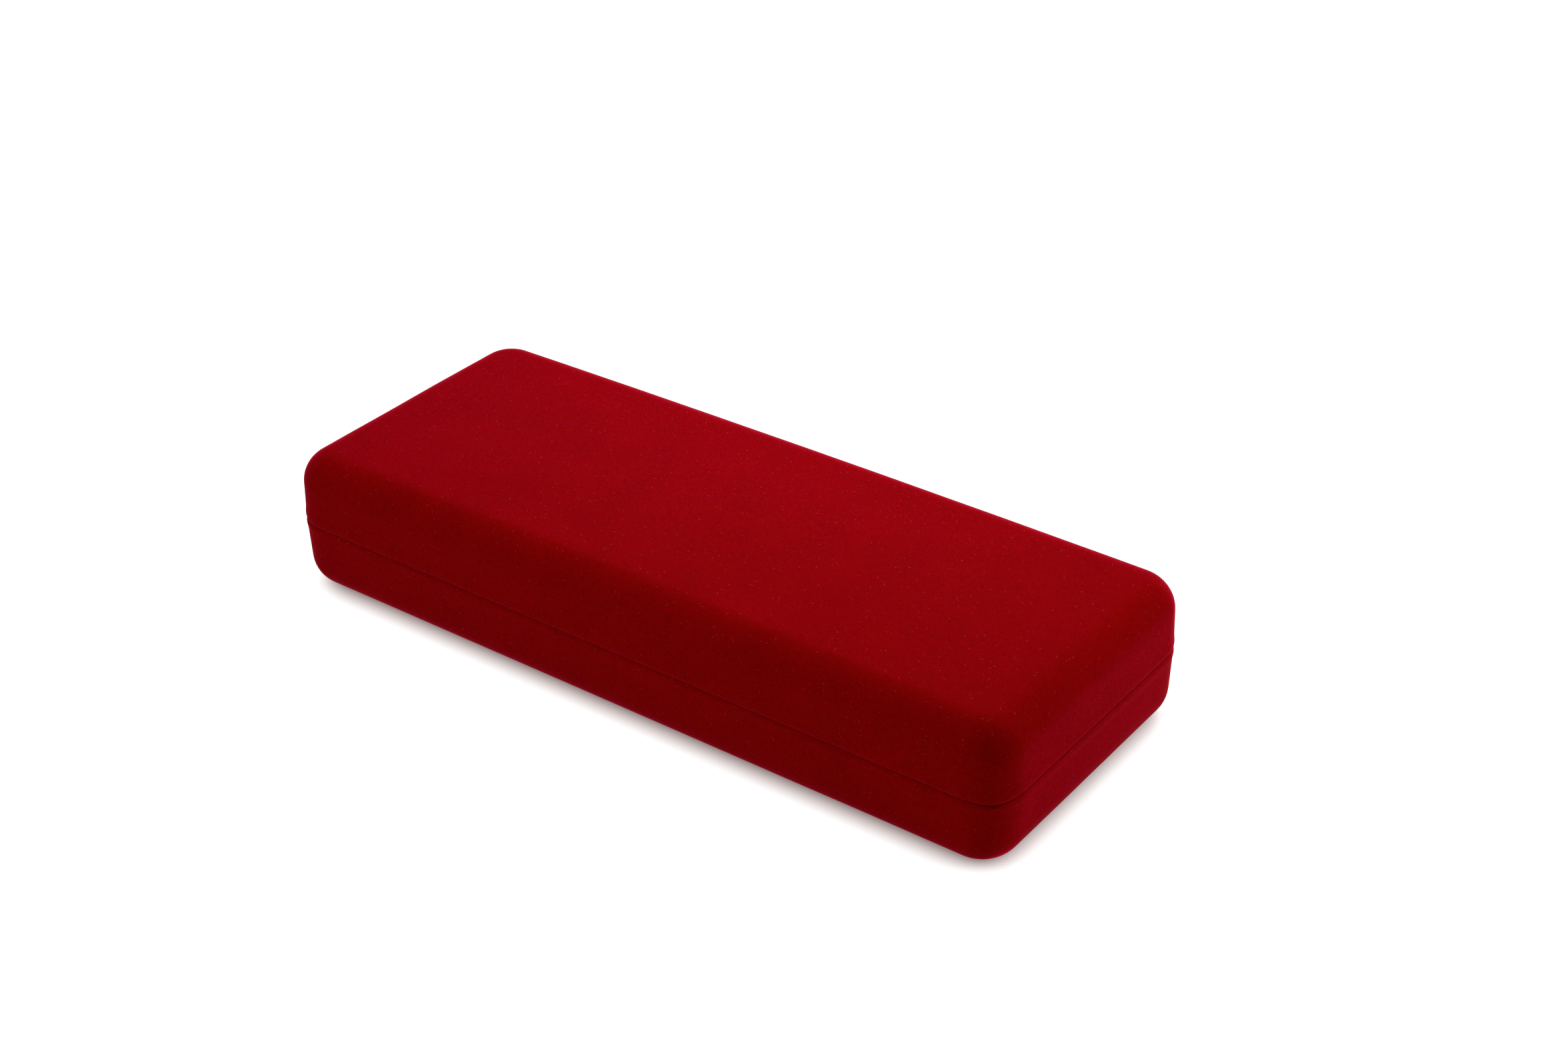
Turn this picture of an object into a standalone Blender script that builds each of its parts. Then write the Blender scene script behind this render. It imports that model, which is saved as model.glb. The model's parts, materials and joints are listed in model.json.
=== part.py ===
"""Velvet presentation case, closed.

A long two-part case: flocked velvet covers glued over a moulded base shell and lid shell, a formed
display insert with a recess on a foam block, a padded satin lining in the lid, and two sprung leaf
hinges along the back. Metres, +Z up. The origin is at the centre of the underside, the front is
at -Y, the hinges are at +Y, and the parting line is level.
"""

import math
from collections import namedtuple

import bmesh
import bpy
from mathutils import Matrix, Vector

MM = 0.001
DEG = math.pi / 180

# The closed case, measured over the velvet
CASE_LENGTH = 180.0 * MM
CASE_WIDTH = 71.5 * MM
BASE_HEIGHT = 16.55 * MM
LID_HEIGHT = 14.95 * MM
SEAM_GAP = 0.3 * MM
CORNER_RADIUS = 9.0 * MM
BASE_FILLET = 7.2 * MM
LID_FILLET = 6.9 * MM
BASE_DRAFT = 2.1 * DEG
LID_DRAFT = 2.0 * DEG
LID_CROWN = 0.3 * MM
LID_SWELL = 0.7 * MM
OPEN_ANGLE = 95.0 * DEG

# The layers of a wall, from the outside in
VELVET = 0.7 * MM
GLUE_GAP = 0.3 * MM
SHELL_WALL = 1.5 * MM
RIM_ROUND = 0.5 * MM
RIM_EDGE = 0.1 * MM
BASE_TURN_IN = 4.0 * MM

# Hinges: two curled leaves, a pin and a cam spring each
HINGE_SPACING = 100.0 * MM
AXIS_DEPTH = 1.7 * MM
LEAF_WIDTH = 16.0 * MM
LEAF_SHEET = 0.5 * MM
BASE_LEAF_REACH = 10.0 * MM
LID_LEAF_REACH = 5.8 * MM
PIN_RADIUS = 0.7 * MM
PIN_PLAY = 0.1 * MM
PIN_SHORT = 0.2 * MM
PIN_CHAMFER = 0.15 * MM
CURL_SWEEP = 295.0 * DEG
LID_KNUCKLE = 6.6 * MM
BARB_PITCH = 1.5 * MM
BARB_DEPTH = 0.3 * MM
BARBS = 3
KNUCKLE_GAP = 0.3 * MM
CAM_FLAT = 0.18 * MM
SPRING_SHEET = 0.3 * MM
SPRING_WIDTH = 5.0 * MM
SPRING_GAP = 0.15 * MM
SPRING_BEND = 0.5 * MM
SPRING_OVERHANG = 0.7 * MM
SPRING_SHORT = 0.5 * MM
SLOT_PLAY = 0.3 * MM
NOTCH_PLAY = 0.5 * MM
HOUSING_WALL = 1.2 * MM
HOUSING_SIDE = 2.0 * MM
HOUSING_ROUND = 0.8 * MM
HOUSING_LIP = 0.6 * MM

# Display insert and the foam under it
INSERT_DROP = 2.2 * MM
INSERT_PLAY = 0.3 * MM
INSERT_ROUND = 0.4 * MM
INSERT_SKIRT = 1.2 * MM
FORMER = 0.8 * MM
RECESS_END_LAND = 11.0 * MM
RECESS_WIDTH = 24.0 * MM
RECESS_FOAM = 1.05 * MM
RECESS_DRAFT = 8.0 * DEG
RECESS_EDGE = 0.3 * MM
RECESS_FILLET = 2.5 * MM
RECESS_END_RADIUS = 11.0 * MM
SCOOP_LENGTH = 42.0 * MM
SCOOP_LAND = 9.6 * MM
SCOOP_RADIUS = 9.0 * MM
SCOOP_BLEND = 7.0 * MM

# Lid lining: board, foam and satin
SATIN = 0.4 * MM
SATIN_FOLD = 6.0 * MM
PAD_BOARD = 1.0 * MM
PAD_FOAM = 2.2 * MM
PAD_CROWN = 1.6 * MM
PAD_EDGE = 2.0 * MM

# Clearance between pieces, how far a cutter runs past what it cuts, and facets
PIECE_GAP = 0.3 * MM
OVERRUN = 3.0 * MM
CORNER_STEPS = 6
SWELL_STEPS = 6
FILLET_STEPS = 6
ROUND_STEPS = 3
RECESS_STEPS = 3
CURL_STEPS = 20
PIN_SIDES = 24
CROWN_SHARES = (0.88, 0.7, 0.5, 0.3, 0.1)
TIGHT_CORNER_SHARE = 0.08
CORNER_REACH_SHARE = 0.49
SMOOTH_ANGLE = 35.0 * DEG

# A half of the case: its rim's height, which way it closes, and its outer form
Half = namedtuple("Half", "rim up height crown swell fillet draft")
BASE = Half(BASE_HEIGHT, -1, BASE_HEIGHT, 0.0, 0.0, BASE_FILLET, BASE_DRAFT)
LID = Half(BASE_HEIGHT + SEAM_GAP, 1, LID_HEIGHT, LID_CROWN, LID_SWELL, LID_FILLET, LID_DRAFT)

# Layers, as distances in from the outer face of the velvet
SHELL_LAYER = VELVET + GLUE_GAP
INNER_LAYER = SHELL_LAYER + SHELL_WALL
TURN_IN_LAYER = INNER_LAYER + GLUE_GAP
WALL_LAYER = TURN_IN_LAYER + VELVET
LINING_LAYER = INNER_LAYER + PIECE_GAP
PAD_LAYER = LINING_LAYER + SATIN + PIECE_GAP

# Hinge places, as distances from the axis unless named otherwise
AXIS_Y = CASE_WIDTH / 2 - AXIS_DEPTH
AXIS_Z = BASE_HEIGHT + SEAM_GAP / 2
BEVEL = OPEN_ANGLE / 2
HINGES = {"left": -HINGE_SPACING / 2, "right": HINGE_SPACING / 2}
BORE_RADIUS = PIN_RADIUS + PIN_PLAY
CURL_RADIUS = BORE_RADIUS + LEAF_SHEET / 2
KNUCKLE_RADIUS = BORE_RADIUS + LEAF_SHEET
SLOT_OUTER = BORE_RADIUS - SLOT_PLAY
SLOT_INNER = KNUCKLE_RADIUS + SLOT_PLAY
SLOT_HALF = LEAF_WIDTH / 2 + SLOT_PLAY
HOUSING_HALF = SLOT_HALF + HOUSING_SIDE
SPRING_TOP = KNUCKLE_RADIUS + SPRING_GAP
SPRING_LEG = KNUCKLE_RADIUS + PIECE_GAP + SPRING_SHEET / 2
POCKET_INNER = SPRING_LEG + SPRING_SHEET / 2 + SLOT_PLAY
POCKET_HALF = SPRING_WIDTH / 2 + SLOT_PLAY
NOTCH_DEPTH = SPRING_TOP + SPRING_SHEET + NOTCH_PLAY
KNUCKLE_HALF = LID_KNUCKLE / 2

# Heights of the insert and its foam above the underside
INSERT_THICK = VELVET + GLUE_GAP + FORMER
INSERT_TOP = BASE_HEIGHT - INSERT_DROP
INSERT_EDGE = INSERT_ROUND + INSERT_THICK
INSERT_BOTTOM = INSERT_TOP - INSERT_EDGE - INSERT_SKIRT
INSERT_INSET = WALL_LAYER + BASE_TURN_IN * math.tan(BASE_DRAFT) + INSERT_PLAY
FOAM_TOP = INSERT_TOP - INSERT_THICK - PIECE_GAP
RECESS_FLOOR = LINING_LAYER + RECESS_FOAM + PIECE_GAP + INSERT_THICK
BASE_HOUSING_TOP = INSERT_BOTTOM - PIECE_GAP

# Heights of the lid lining above the lid's rim
BOARD_TOP = LID_HEIGHT - LINING_LAYER - SATIN - PIECE_GAP
FOAM_BACK = BOARD_TOP - PAD_BOARD - PIECE_GAP
PAD_FACE = FOAM_BACK - PAD_FOAM
LINING_FACE = PAD_FACE - PIECE_GAP - SATIN
LID_TURN_IN = LINING_FACE - PIECE_GAP


def rounded_outline(corners, steps):
    """An anticlockwise outline with rounded corners, each given as (x, y, radius)."""
    points = []
    for k, (x, y, radius) in enumerate(corners):
        here = Vector((x, y))
        before = Vector(corners[k - 1][:2]) - here
        after = Vector(corners[(k + 1) % len(corners)][:2]) - here
        half = before.angle(after) / 2
        reach = min(radius / math.tan(half), CORNER_REACH_SHARE * min(before.length, after.length))
        bisector = (before.normalized() + after.normalized()).normalized()
        centre = here + bisector * (reach / math.cos(half))
        spoke = here + before.normalized() * reach - centre
        turn = math.copysign(math.pi - 2 * half, after.cross(before))
        for step in range(steps + 1):
            points.append(centre + Matrix.Rotation(turn * step / steps, 2) @ spoke)
    return points


def rectangle(half_x, half_y, radius, steps=CORNER_STEPS):
    corners = [(half_x, -half_y, radius), (half_x, half_y, radius)]
    corners += [(-half_x, half_y, radius), (-half_x, -half_y, radius)]
    return rounded_outline(corners, steps)


def case_outline(inset):
    """The plan of the case, drawn in by an inset."""
    radius = max(CORNER_RADIUS - inset, CORNER_RADIUS * TIGHT_CORNER_SHARE)
    return rectangle(CASE_LENGTH / 2 - inset, CASE_WIDTH / 2 - inset, radius)


def recess_outline(inset):
    """The opening of the insert, drawn in by an inset: a long recess with a finger scoop each side."""
    end_x = CASE_LENGTH / 2 - INSERT_INSET - RECESS_END_LAND - inset
    end_y = RECESS_WIDTH / 2 - inset
    scoop_x = SCOOP_LENGTH / 2 - inset
    scoop_y = CASE_WIDTH / 2 - INSERT_INSET - SCOOP_LAND - inset
    end_radius = max(RECESS_END_RADIUS - inset, RECESS_END_RADIUS * TIGHT_CORNER_SHARE)
    scoop_radius = max(SCOOP_RADIUS - inset, SCOOP_RADIUS * TIGHT_CORNER_SHARE)
    blend = SCOOP_BLEND + inset
    corners = []
    for side in (1, -1):
        corners.append((side * end_x, -side * end_y, end_radius))
        corners.append((side * end_x, side * end_y, end_radius))
        corners.append((side * scoop_x, side * end_y, blend))
        corners.append((side * scoop_x, side * scoop_y, scoop_radius))
        corners.append((-side * scoop_x, side * scoop_y, scoop_radius))
        corners.append((-side * scoop_x, side * end_y, blend))
    return rounded_outline(corners, RECESS_STEPS)


def level(outline, z):
    return [Vector((x, y, z)) for x, y in outline]


def fill_rings(mesh, rings):
    """Skins the rings in order, and returns them as vertices."""
    rows = [[mesh.verts.new(point) for point in ring] for ring in rings]
    for lower, upper in zip(rows, rows[1:]):
        for k in range(len(lower)):
            mesh.faces.new((lower[k - 1], lower[k], upper[k], upper[k - 1]))
    return rows


def make_object(name, mesh):
    bmesh.ops.recalc_face_normals(mesh, faces=mesh.faces)
    data = bpy.data.meshes.new(name)
    mesh.to_mesh(data)
    mesh.free()
    piece = bpy.data.objects.new(name, data)
    bpy.context.scene.collection.objects.link(piece)
    return piece


def loft(name, rings):
    """A closed solid skinned through rings with equal point counts."""
    mesh = bmesh.new()
    rows = fill_rings(mesh, rings)
    mesh.faces.new(rows[0])
    mesh.faces.new(rows[-1])
    return make_object(name, mesh)


def block(name, low, high):
    """A box between two corners, for cutting."""
    sides = [(low[0], low[1]), (high[0], low[1]), (high[0], high[1]), (low[0], high[1])]
    return loft(name, [level(sides, low[2]), level(sides, high[2])])


def combine(target, tools, operation="DIFFERENCE"):
    """Cuts the tools from the target, or joins them to it, and removes them."""
    for tool in tools:
        modifier = target.modifiers.new(tool.name, "BOOLEAN")
        modifier.operation = operation
        modifier.object = tool
    evaluated = target.evaluated_get(bpy.context.evaluated_depsgraph_get())
    data = bpy.data.meshes.new_from_object(evaluated)
    target.modifiers.clear()
    target.data = data
    for tool in tools:
        bpy.data.objects.remove(tool)
    return target


def wall_profile(half, layer, start, stop):
    """A layer of a half's wall and fillet as (inset, height above the rim), between two heights."""
    lean = math.tan(half.draft)
    radius = half.fillet - layer
    centre_height = half.height - half.fillet
    centre_inset = half.fillet / math.cos(half.draft) + centre_height * lean
    first_angle, last_angle = [
        math.asin(max(-1, min(1, (height - centre_height) / radius))) for height in (start, stop)]
    points = []
    if first_angle < half.draft:
        first_angle = half.draft
        points.append((layer / math.cos(half.draft) + start * lean, start))
    for step in range(FILLET_STEPS + 1):
        angle = first_angle + (last_angle - first_angle) * step / FILLET_STEPS
        points.append((centre_inset - radius * math.cos(angle), centre_height + radius * math.sin(angle)))
    return points


def full_wall(half, layer, start):
    return wall_profile(half, layer, start, half.height - layer)


def half_outline(half, inset):
    """The plan of a half. Where it swells, its long runs have points along them as well."""
    points = case_outline(inset)
    if half.swell == 0:
        return points
    corners = [points[k:k + CORNER_STEPS + 1] for k in range(0, len(points), CORNER_STEPS + 1)]
    runs = []
    for start, end in ((corners[1][-1], corners[2][0]), (corners[3][-1], corners[0][0])):
        runs.append([start.lerp(end, step / SWELL_STEPS) for step in range(1, SWELL_STEPS)])
    return corners[0] + corners[1] + runs[0] + corners[2] + corners[3] + runs[1]


def swollen(half, x, height):
    """A height above the rim, raised by the swell along the middle of the half's length."""
    along = 1 - (2 * x / CASE_LENGTH) ** 2
    return height + half.swell * along * (max(height, 0) / half.height) ** 2


def half_ring(half, inset, height, layer=0.0):
    """One ring of a half. Behind the axis it slopes away, so that the lid can swing."""
    ring = []
    for x, y in half_outline(half, inset):
        slope = (y - AXIS_Y) * math.tan(BEVEL) + layer / math.cos(BEVEL)
        ring.append(Vector((x, y, half.rim + half.up * max(swollen(half, x, height), slope))))
    return ring


def crowned_rings(outline, z, rise, power):
    """Rings drawn in from an outline that rise to a crown in the middle."""
    rings = []
    for share in CROWN_SHARES:
        top = z + rise * (1 - share ** 2) ** power
        rings.append([Vector((x * share, y * share, top)) for x, y in outline])
    return rings


def half_crown(half, inset, height):
    """The crowned middle of a half's top, or nothing where the half is flat."""
    if half.crown == 0:
        return []
    rings = crowned_rings(half_outline(half, inset), half.rim, half.up * half.crown, 2)
    for ring in rings:
        for point in ring:
            point.z += half.up * swollen(half, point.x, height)
    return rings


def round_edge(radius, steps=ROUND_STEPS):
    """A quarter round as (run, rise) from its start, up and over to its end."""
    angles = [math.pi / 2 * step / steps for step in range(1, steps + 1)]
    return [(radius - radius * math.cos(angle), radius * math.sin(angle)) for angle in angles]


def velvet_cover(half, name, turn_in):
    """A velvet skin over one half, wrapped over the rim and turned in along the inner wall."""
    lean = math.tan(half.draft)
    outer = full_wall(half, 0.0, RIM_ROUND)
    inner = full_wall(half, VELVET, VELVET)
    rings = half_crown(half, *outer[-1])[::-1]
    rings += [half_ring(half, inset, height) for inset, height in outer[::-1]]
    rings += [half_ring(half, run, RIM_ROUND - rise) for run, rise in round_edge(RIM_ROUND)]
    rings.append(half_ring(half, AXIS_DEPTH, 0.0))
    rings += [half_ring(half, WALL_LAYER - run, RIM_ROUND - rise)
              for run, rise in round_edge(RIM_ROUND)[::-1]]
    rings.append(half_ring(half, WALL_LAYER, RIM_ROUND))
    rings.append(half_ring(half, WALL_LAYER + turn_in * lean, turn_in))
    rings.append(half_ring(half, TURN_IN_LAYER + turn_in * lean, turn_in))
    rings.append(half_ring(half, TURN_IN_LAYER, VELVET, VELVET))
    rings.append(half_ring(half, AXIS_DEPTH + VELVET * math.tan(BEVEL / 2), VELVET, VELVET))
    rings += [half_ring(half, inset, height, VELVET) for inset, height in inner]
    rings += half_crown(half, *inner[-1])
    return loft(name, rings)


def outer_form(half, name):
    """The outside of a shell as a solid, up to its rim."""
    wall = full_wall(half, SHELL_LAYER, SHELL_LAYER)
    rim_line = min(AXIS_DEPTH + SHELL_LAYER * math.tan(BEVEL / 2), INNER_LAYER - RIM_EDGE)
    rings = half_crown(half, *wall[-1])[::-1]
    rings += [half_ring(half, inset, height, SHELL_LAYER) for inset, height in wall[::-1]]
    rings.append(half_ring(half, rim_line, SHELL_LAYER, SHELL_LAYER))
    return loft(name, rings)


def inner_form(half, name):
    """The inside of a shell as a solid that runs out past the rim."""
    rings = []
    wall = full_wall(half, INNER_LAYER, -OVERRUN)
    for inset, height in wall:
        outline = half_outline(half, inset)
        rings.append([Vector((x, y, half.rim + half.up * swollen(half, x, height))) for x, y in outline])
    rings += half_crown(half, *wall[-1])
    return loft(name, rings)


def housing(name, x, inner, bottom, top, grow=0.0):
    """The block that holds a hinge leaf, from inside the cavity into the back wall."""
    half_y = (inner + AXIS_DEPTH) / 2 + grow
    centre_y = AXIS_Y + (AXIS_DEPTH - inner) / 2
    plan = rectangle(HOUSING_HALF + grow, half_y, HOUSING_ROUND + grow, ROUND_STEPS)
    plan = [(x + px, centre_y + py) for px, py in plan]
    return loft(name, [level(plan, bottom - grow), level(plan, top + grow)])


def base_housings(grow=0.0):
    inner = POCKET_INNER + HOUSING_WALL
    return [housing(side, x, inner, -OVERRUN, BASE_HOUSING_TOP, grow) for side, x in HINGES.items()]


def lid_housings(grow=0.0):
    inner = SLOT_INNER + HOUSING_WALL
    bottom = AXIS_Z + NOTCH_DEPTH + HOUSING_LIP
    top = LID.rim + LID_TURN_IN
    return [housing(side, x, inner, bottom, top, grow) for side, x in HINGES.items()]


def hinge_notches(half, inner):
    """Cutters for the gap in the back rim that each hinge's knuckles lie in."""
    cutters = []
    for side, x in HINGES.items():
        ends = sorted((AXIS_Z + half.up * NOTCH_DEPTH, AXIS_Z - half.up * OVERRUN))
        low = (x - SLOT_HALF, AXIS_Y - inner, ends[0])
        high = (x + SLOT_HALF, AXIS_Y + AXIS_DEPTH + OVERRUN, ends[1])
        cutters.append(block(side + "_notch", low, high))
    return cutters


def leaf_slots(half, half_width, inner, outer, reach):
    """Cutters for the slots that run from the notches into the housings."""
    cutters = []
    for side, x in HINGES.items():
        ends = sorted((AXIS_Z, AXIS_Z + half.up * reach))
        low = (x - half_width, AXIS_Y - inner, ends[0])
        high = (x + half_width, AXIS_Y - outer, ends[1])
        cutters.append(block(side + "_slot", low, high))
    return cutters


def base_shell():
    cavity = combine(inner_form(BASE, "cavity"), base_housings())
    shell = combine(outer_form(BASE, "base_shell"), [cavity])
    cutters = hinge_notches(BASE, POCKET_INNER)
    cutters += leaf_slots(BASE, SLOT_HALF, SLOT_INNER, SLOT_OUTER, BASE_LEAF_REACH + SLOT_PLAY)
    cutters += leaf_slots(BASE, POCKET_HALF, POCKET_INNER, SLOT_INNER - RIM_EDGE, BASE_LEAF_REACH)
    return combine(shell, cutters)


def lid_shell():
    cavity = combine(inner_form(LID, "cavity"), lid_housings())
    shell = combine(outer_form(LID, "lid_shell"), [cavity])
    cutters = hinge_notches(LID, SLOT_INNER)
    cutters += leaf_slots(LID, SLOT_HALF, SLOT_INNER, SLOT_OUTER, LID_LEAF_REACH + SLOT_PLAY)
    return combine(shell, cutters)


def base_velvet():
    cover = velvet_cover(BASE, "base_velvet", BASE_TURN_IN)
    cutters = hinge_notches(BASE, POCKET_INNER)
    cutters += leaf_slots(BASE, SLOT_HALF, POCKET_INNER, SLOT_OUTER, BASE_TURN_IN + OVERRUN)
    return combine(cover, cutters)


def lid_velvet():
    cover = velvet_cover(LID, "lid_velvet", LID_TURN_IN)
    cutters = hinge_notches(LID, WALL_LAYER)
    cutters += leaf_slots(LID, SLOT_HALF, WALL_LAYER, SLOT_OUTER, LID_TURN_IN + OVERRUN)
    inner = SLOT_INNER + HOUSING_WALL + OVERRUN
    bottom = AXIS_Z + NOTCH_DEPTH + HOUSING_LIP - PIECE_GAP
    for side, x in HINGES.items():
        low = (x - HOUSING_HALF - PIECE_GAP, AXIS_Y - inner, bottom)
        high = (x + HOUSING_HALF + PIECE_GAP, AXIS_Y - SLOT_OUTER, LID.rim + LID_TURN_IN + OVERRUN)
        cutters.append(block(side + "_housing_gap", low, high))
    return combine(cover, cutters)


def recess_profile(depth):
    """The recess of the insert at a depth under its top face, as (inset, height), edge to floor."""
    edge = RECESS_EDGE + INSERT_THICK + PIECE_GAP
    across = math.cos(RECESS_DRAFT)
    down = math.sin(RECESS_DRAFT)
    edge_height = INSERT_TOP - edge
    fillet_height = RECESS_FLOOR + RECESS_FILLET
    run = (edge_height + edge * down + RECESS_FILLET * down - fillet_height) / across
    fillet_inset = edge * across + run * down + RECESS_FILLET * across
    points = []
    for step in range(ROUND_STEPS + 1):
        angle = math.pi / 2 + (RECESS_DRAFT - math.pi / 2) * step / ROUND_STEPS
        radius = edge - depth
        points.append((radius * math.cos(angle), edge_height + radius * math.sin(angle)))
    for step in range(ROUND_STEPS + 1):
        angle = RECESS_DRAFT + (math.pi / 2 - RECESS_DRAFT) * step / ROUND_STEPS
        radius = RECESS_FILLET + depth
        points.append((fillet_inset - radius * math.cos(angle), fillet_height - radius * math.sin(angle)))
    return points


def insert_face(mesh, depth):
    """One face of the insert's sheet: skirt, rounded edge, flat land and recess. Returns its hem."""
    radius = INSERT_EDGE - depth
    hem_inset = INSERT_INSET + depth
    shoulder = INSERT_BOTTOM + INSERT_SKIRT
    rings = [level(case_outline(hem_inset), INSERT_BOTTOM), level(case_outline(hem_inset), shoulder)]
    rings += [level(case_outline(hem_inset + run), shoulder + rise) for run, rise in round_edge(radius)]
    outer = fill_rings(mesh, rings)
    recess = [level(recess_outline(inset), height) for inset, height in recess_profile(depth)]
    inner = fill_rings(mesh, recess)
    mesh.faces.new(inner[-1])
    land_edges = []
    for loop in (outer[-1], inner[0]):
        land_edges += [mesh.edges.get((loop[k - 1], loop[k])) for k in range(len(loop))]
    bmesh.ops.triangle_fill(mesh, use_beauty=True, edges=land_edges)
    return outer[0]


def insert_sheet(name, upper, lower):
    """A formed sheet of the insert between two depths under its top face."""
    mesh = bmesh.new()
    top_hem = insert_face(mesh, upper)
    bottom_hem = insert_face(mesh, lower)
    for k in range(len(top_hem)):
        mesh.faces.new((top_hem[k - 1], top_hem[k], bottom_hem[k], bottom_hem[k - 1]))
    return make_object(name, mesh)


def base_foam():
    """The foam block inside the insert's skirt, with the recess and the housings cut out."""
    side = INSERT_INSET + INSERT_THICK + PIECE_GAP
    wall = full_wall(BASE, LINING_LAYER, BASE_HEIGHT - FOAM_TOP)
    rings = [level(case_outline(max(inset, side)), BASE.rim - height) for inset, height in wall]
    foam = loft("base_foam", rings)
    recess = recess_profile(INSERT_THICK + PIECE_GAP)[ROUND_STEPS:]
    cut = [level(recess_outline(recess[0][0]), FOAM_TOP + OVERRUN)]
    cut += [level(recess_outline(inset), height) for inset, height in recess]
    return combine(foam, [loft("recess", cut)] + base_housings(PIECE_GAP))


def pad_rings(offset, back):
    """The lining's face, edge and side at an offset under the satin, from the crown to its back."""
    radius = PAD_EDGE - offset
    shoulder = LINING_FACE + PAD_EDGE
    side = wall_profile(LID, LINING_LAYER + offset, shoulder, back)
    edge = [(side[0][0] + run, shoulder - rise) for run, rise in round_edge(radius)]
    face_inset, face_height = edge[-1]
    rings = crowned_rings(case_outline(face_inset), LID.rim + face_height, -PAD_CROWN, 1)[::-1]
    rings += [level(case_outline(inset), LID.rim + height) for inset, height in edge[::-1] + side]
    return rings


def lid_satin_cover():
    """Satin over the pad's face and sides, folded in behind the board."""
    outer_back = LID_HEIGHT - LINING_LAYER
    inner_back = outer_back - SATIN
    fold_inset = wall_profile(LID, LINING_LAYER, 0.0, outer_back)[-1][0] + SATIN_FOLD
    outer = pad_rings(0.0, outer_back)
    inner = pad_rings(SATIN, inner_back)
    fold = [level(case_outline(fold_inset), LID.rim + back) for back in (outer_back, inner_back)]
    return loft("lid_satin_cover", outer + fold + inner[::-1])


def lid_pad_foam():
    return loft("lid_pad_foam", pad_rings(SATIN + PIECE_GAP, FOAM_BACK))


def lid_pad_board():
    inset = wall_profile(LID, PAD_LAYER, 0.0, BOARD_TOP)[-1][0]
    outline = case_outline(inset)
    heights = (BOARD_TOP, BOARD_TOP - PAD_BOARD)
    return loft("lid_pad_board", [level(outline, LID.rim + height) for height in heights])


def strip(name, path, sheet, width):
    """Sheet metal bent along a path of (y, z) points, its middle surface."""
    points = [Vector(point) for point in path]
    rings = []
    for k, point in enumerate(points):
        before = (point - points[k - 1]).normalized() if k else None
        after = (points[k + 1] - point).normalized() if k + 1 < len(points) else None
        along = ((before or after) + (after or before)).normalized()
        across = Vector((-along.y, along.x))
        mitre = 1 / along.dot(after or before)
        ring = []
        for x, side in ((-1, -1), (1, -1), (1, 1), (-1, 1)):
            y, z = point + across * (side * mitre * sheet / 2)
            ring.append(Vector((x * width / 2, y, z)))
        rings.append(ring)
    return loft(name, rings)


def curled_leaf(name, up, reach):
    """A leaf whose plate runs up to the axis and curls round the pin; up is -1 or 1 for its side."""
    path = [(-CURL_RADIUS, up * reach)]
    for step in range(CURL_STEPS + 1):
        angle = math.pi + up * CURL_SWEEP * step / CURL_STEPS
        path.append((CURL_RADIUS * math.cos(angle), CURL_RADIUS * math.sin(angle)))
    return strip(name, path, LEAF_SHEET, LEAF_WIDTH)


def barb_cutters(up, reach):
    """Wedges cut from both sides of a plate, to leave barbs that grip the housing."""
    cutters = []
    for side in (-1, 1):
        for barb in range(BARBS):
            tip = reach - barb * BARB_PITCH
            edge = side * LEAF_WIDTH / 2
            wedge = [(edge - side * BARB_DEPTH, tip), (edge, tip - BARB_PITCH)]
            wedge += [(edge + side * OVERRUN, tip - BARB_PITCH), (edge + side * OVERRUN, tip)]
            sides = (-KNUCKLE_RADIUS - OVERRUN, 0.0)
            cutters.append(loft("barb", [[Vector((x, y, up * z)) for x, z in wedge] for y in sides]))
    return cutters


def base_leaf(name):
    """The base leaf, with its middle cut out for the lid's knuckle and the spring."""
    leaf = curled_leaf(name, -1, BASE_LEAF_REACH)
    half = KNUCKLE_HALF + KNUCKLE_GAP
    low = (-half, -KNUCKLE_RADIUS - OVERRUN, -NOTCH_DEPTH)
    high = (half, KNUCKLE_RADIUS + OVERRUN, KNUCKLE_RADIUS + OVERRUN)
    return combine(leaf, [block("middle", low, high)] + barb_cutters(-1, BASE_LEAF_REACH))


def lid_leaf(name):
    """The lid leaf: one middle knuckle with two flats that the spring snaps onto."""
    leaf = curled_leaf(name, 1, LID_LEAF_REACH)
    cutters = barb_cutters(1, LID_LEAF_REACH)
    for side in (-1, 1):
        ends = sorted((side * KNUCKLE_HALF, side * (LEAF_WIDTH / 2 + OVERRUN)))
        low = (ends[0], -KNUCKLE_RADIUS - OVERRUN, -KNUCKLE_RADIUS - OVERRUN)
        high = (ends[1], KNUCKLE_RADIUS + OVERRUN, KNUCKLE_RADIUS + KNUCKLE_GAP)
        cutters.append(block("end", low, high))
    for angle in (0.0, OPEN_ANGLE):
        low = (-LEAF_WIDTH, -KNUCKLE_RADIUS, -KNUCKLE_RADIUS - OVERRUN)
        high = (LEAF_WIDTH, KNUCKLE_RADIUS, CAM_FLAT - KNUCKLE_RADIUS)
        flat = block("flat", low, high)
        flat.data.transform(Matrix.Rotation(angle, 4, "X"))
        cutters.append(flat)
    return combine(leaf, cutters)


def hinge_pin(name):
    half = LEAF_WIDTH / 2 - PIN_SHORT
    stations = [(-half, PIN_RADIUS - PIN_CHAMFER), (PIN_CHAMFER - half, PIN_RADIUS)]
    stations += [(half - PIN_CHAMFER, PIN_RADIUS), (half, PIN_RADIUS - PIN_CHAMFER)]
    rings = []
    for x, radius in stations:
        angles = [2 * math.pi * side / PIN_SIDES for side in range(PIN_SIDES)]
        rings.append([Vector((x, radius * math.cos(angle), radius * math.sin(angle))) for angle in angles])
    return loft(name, rings)


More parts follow.
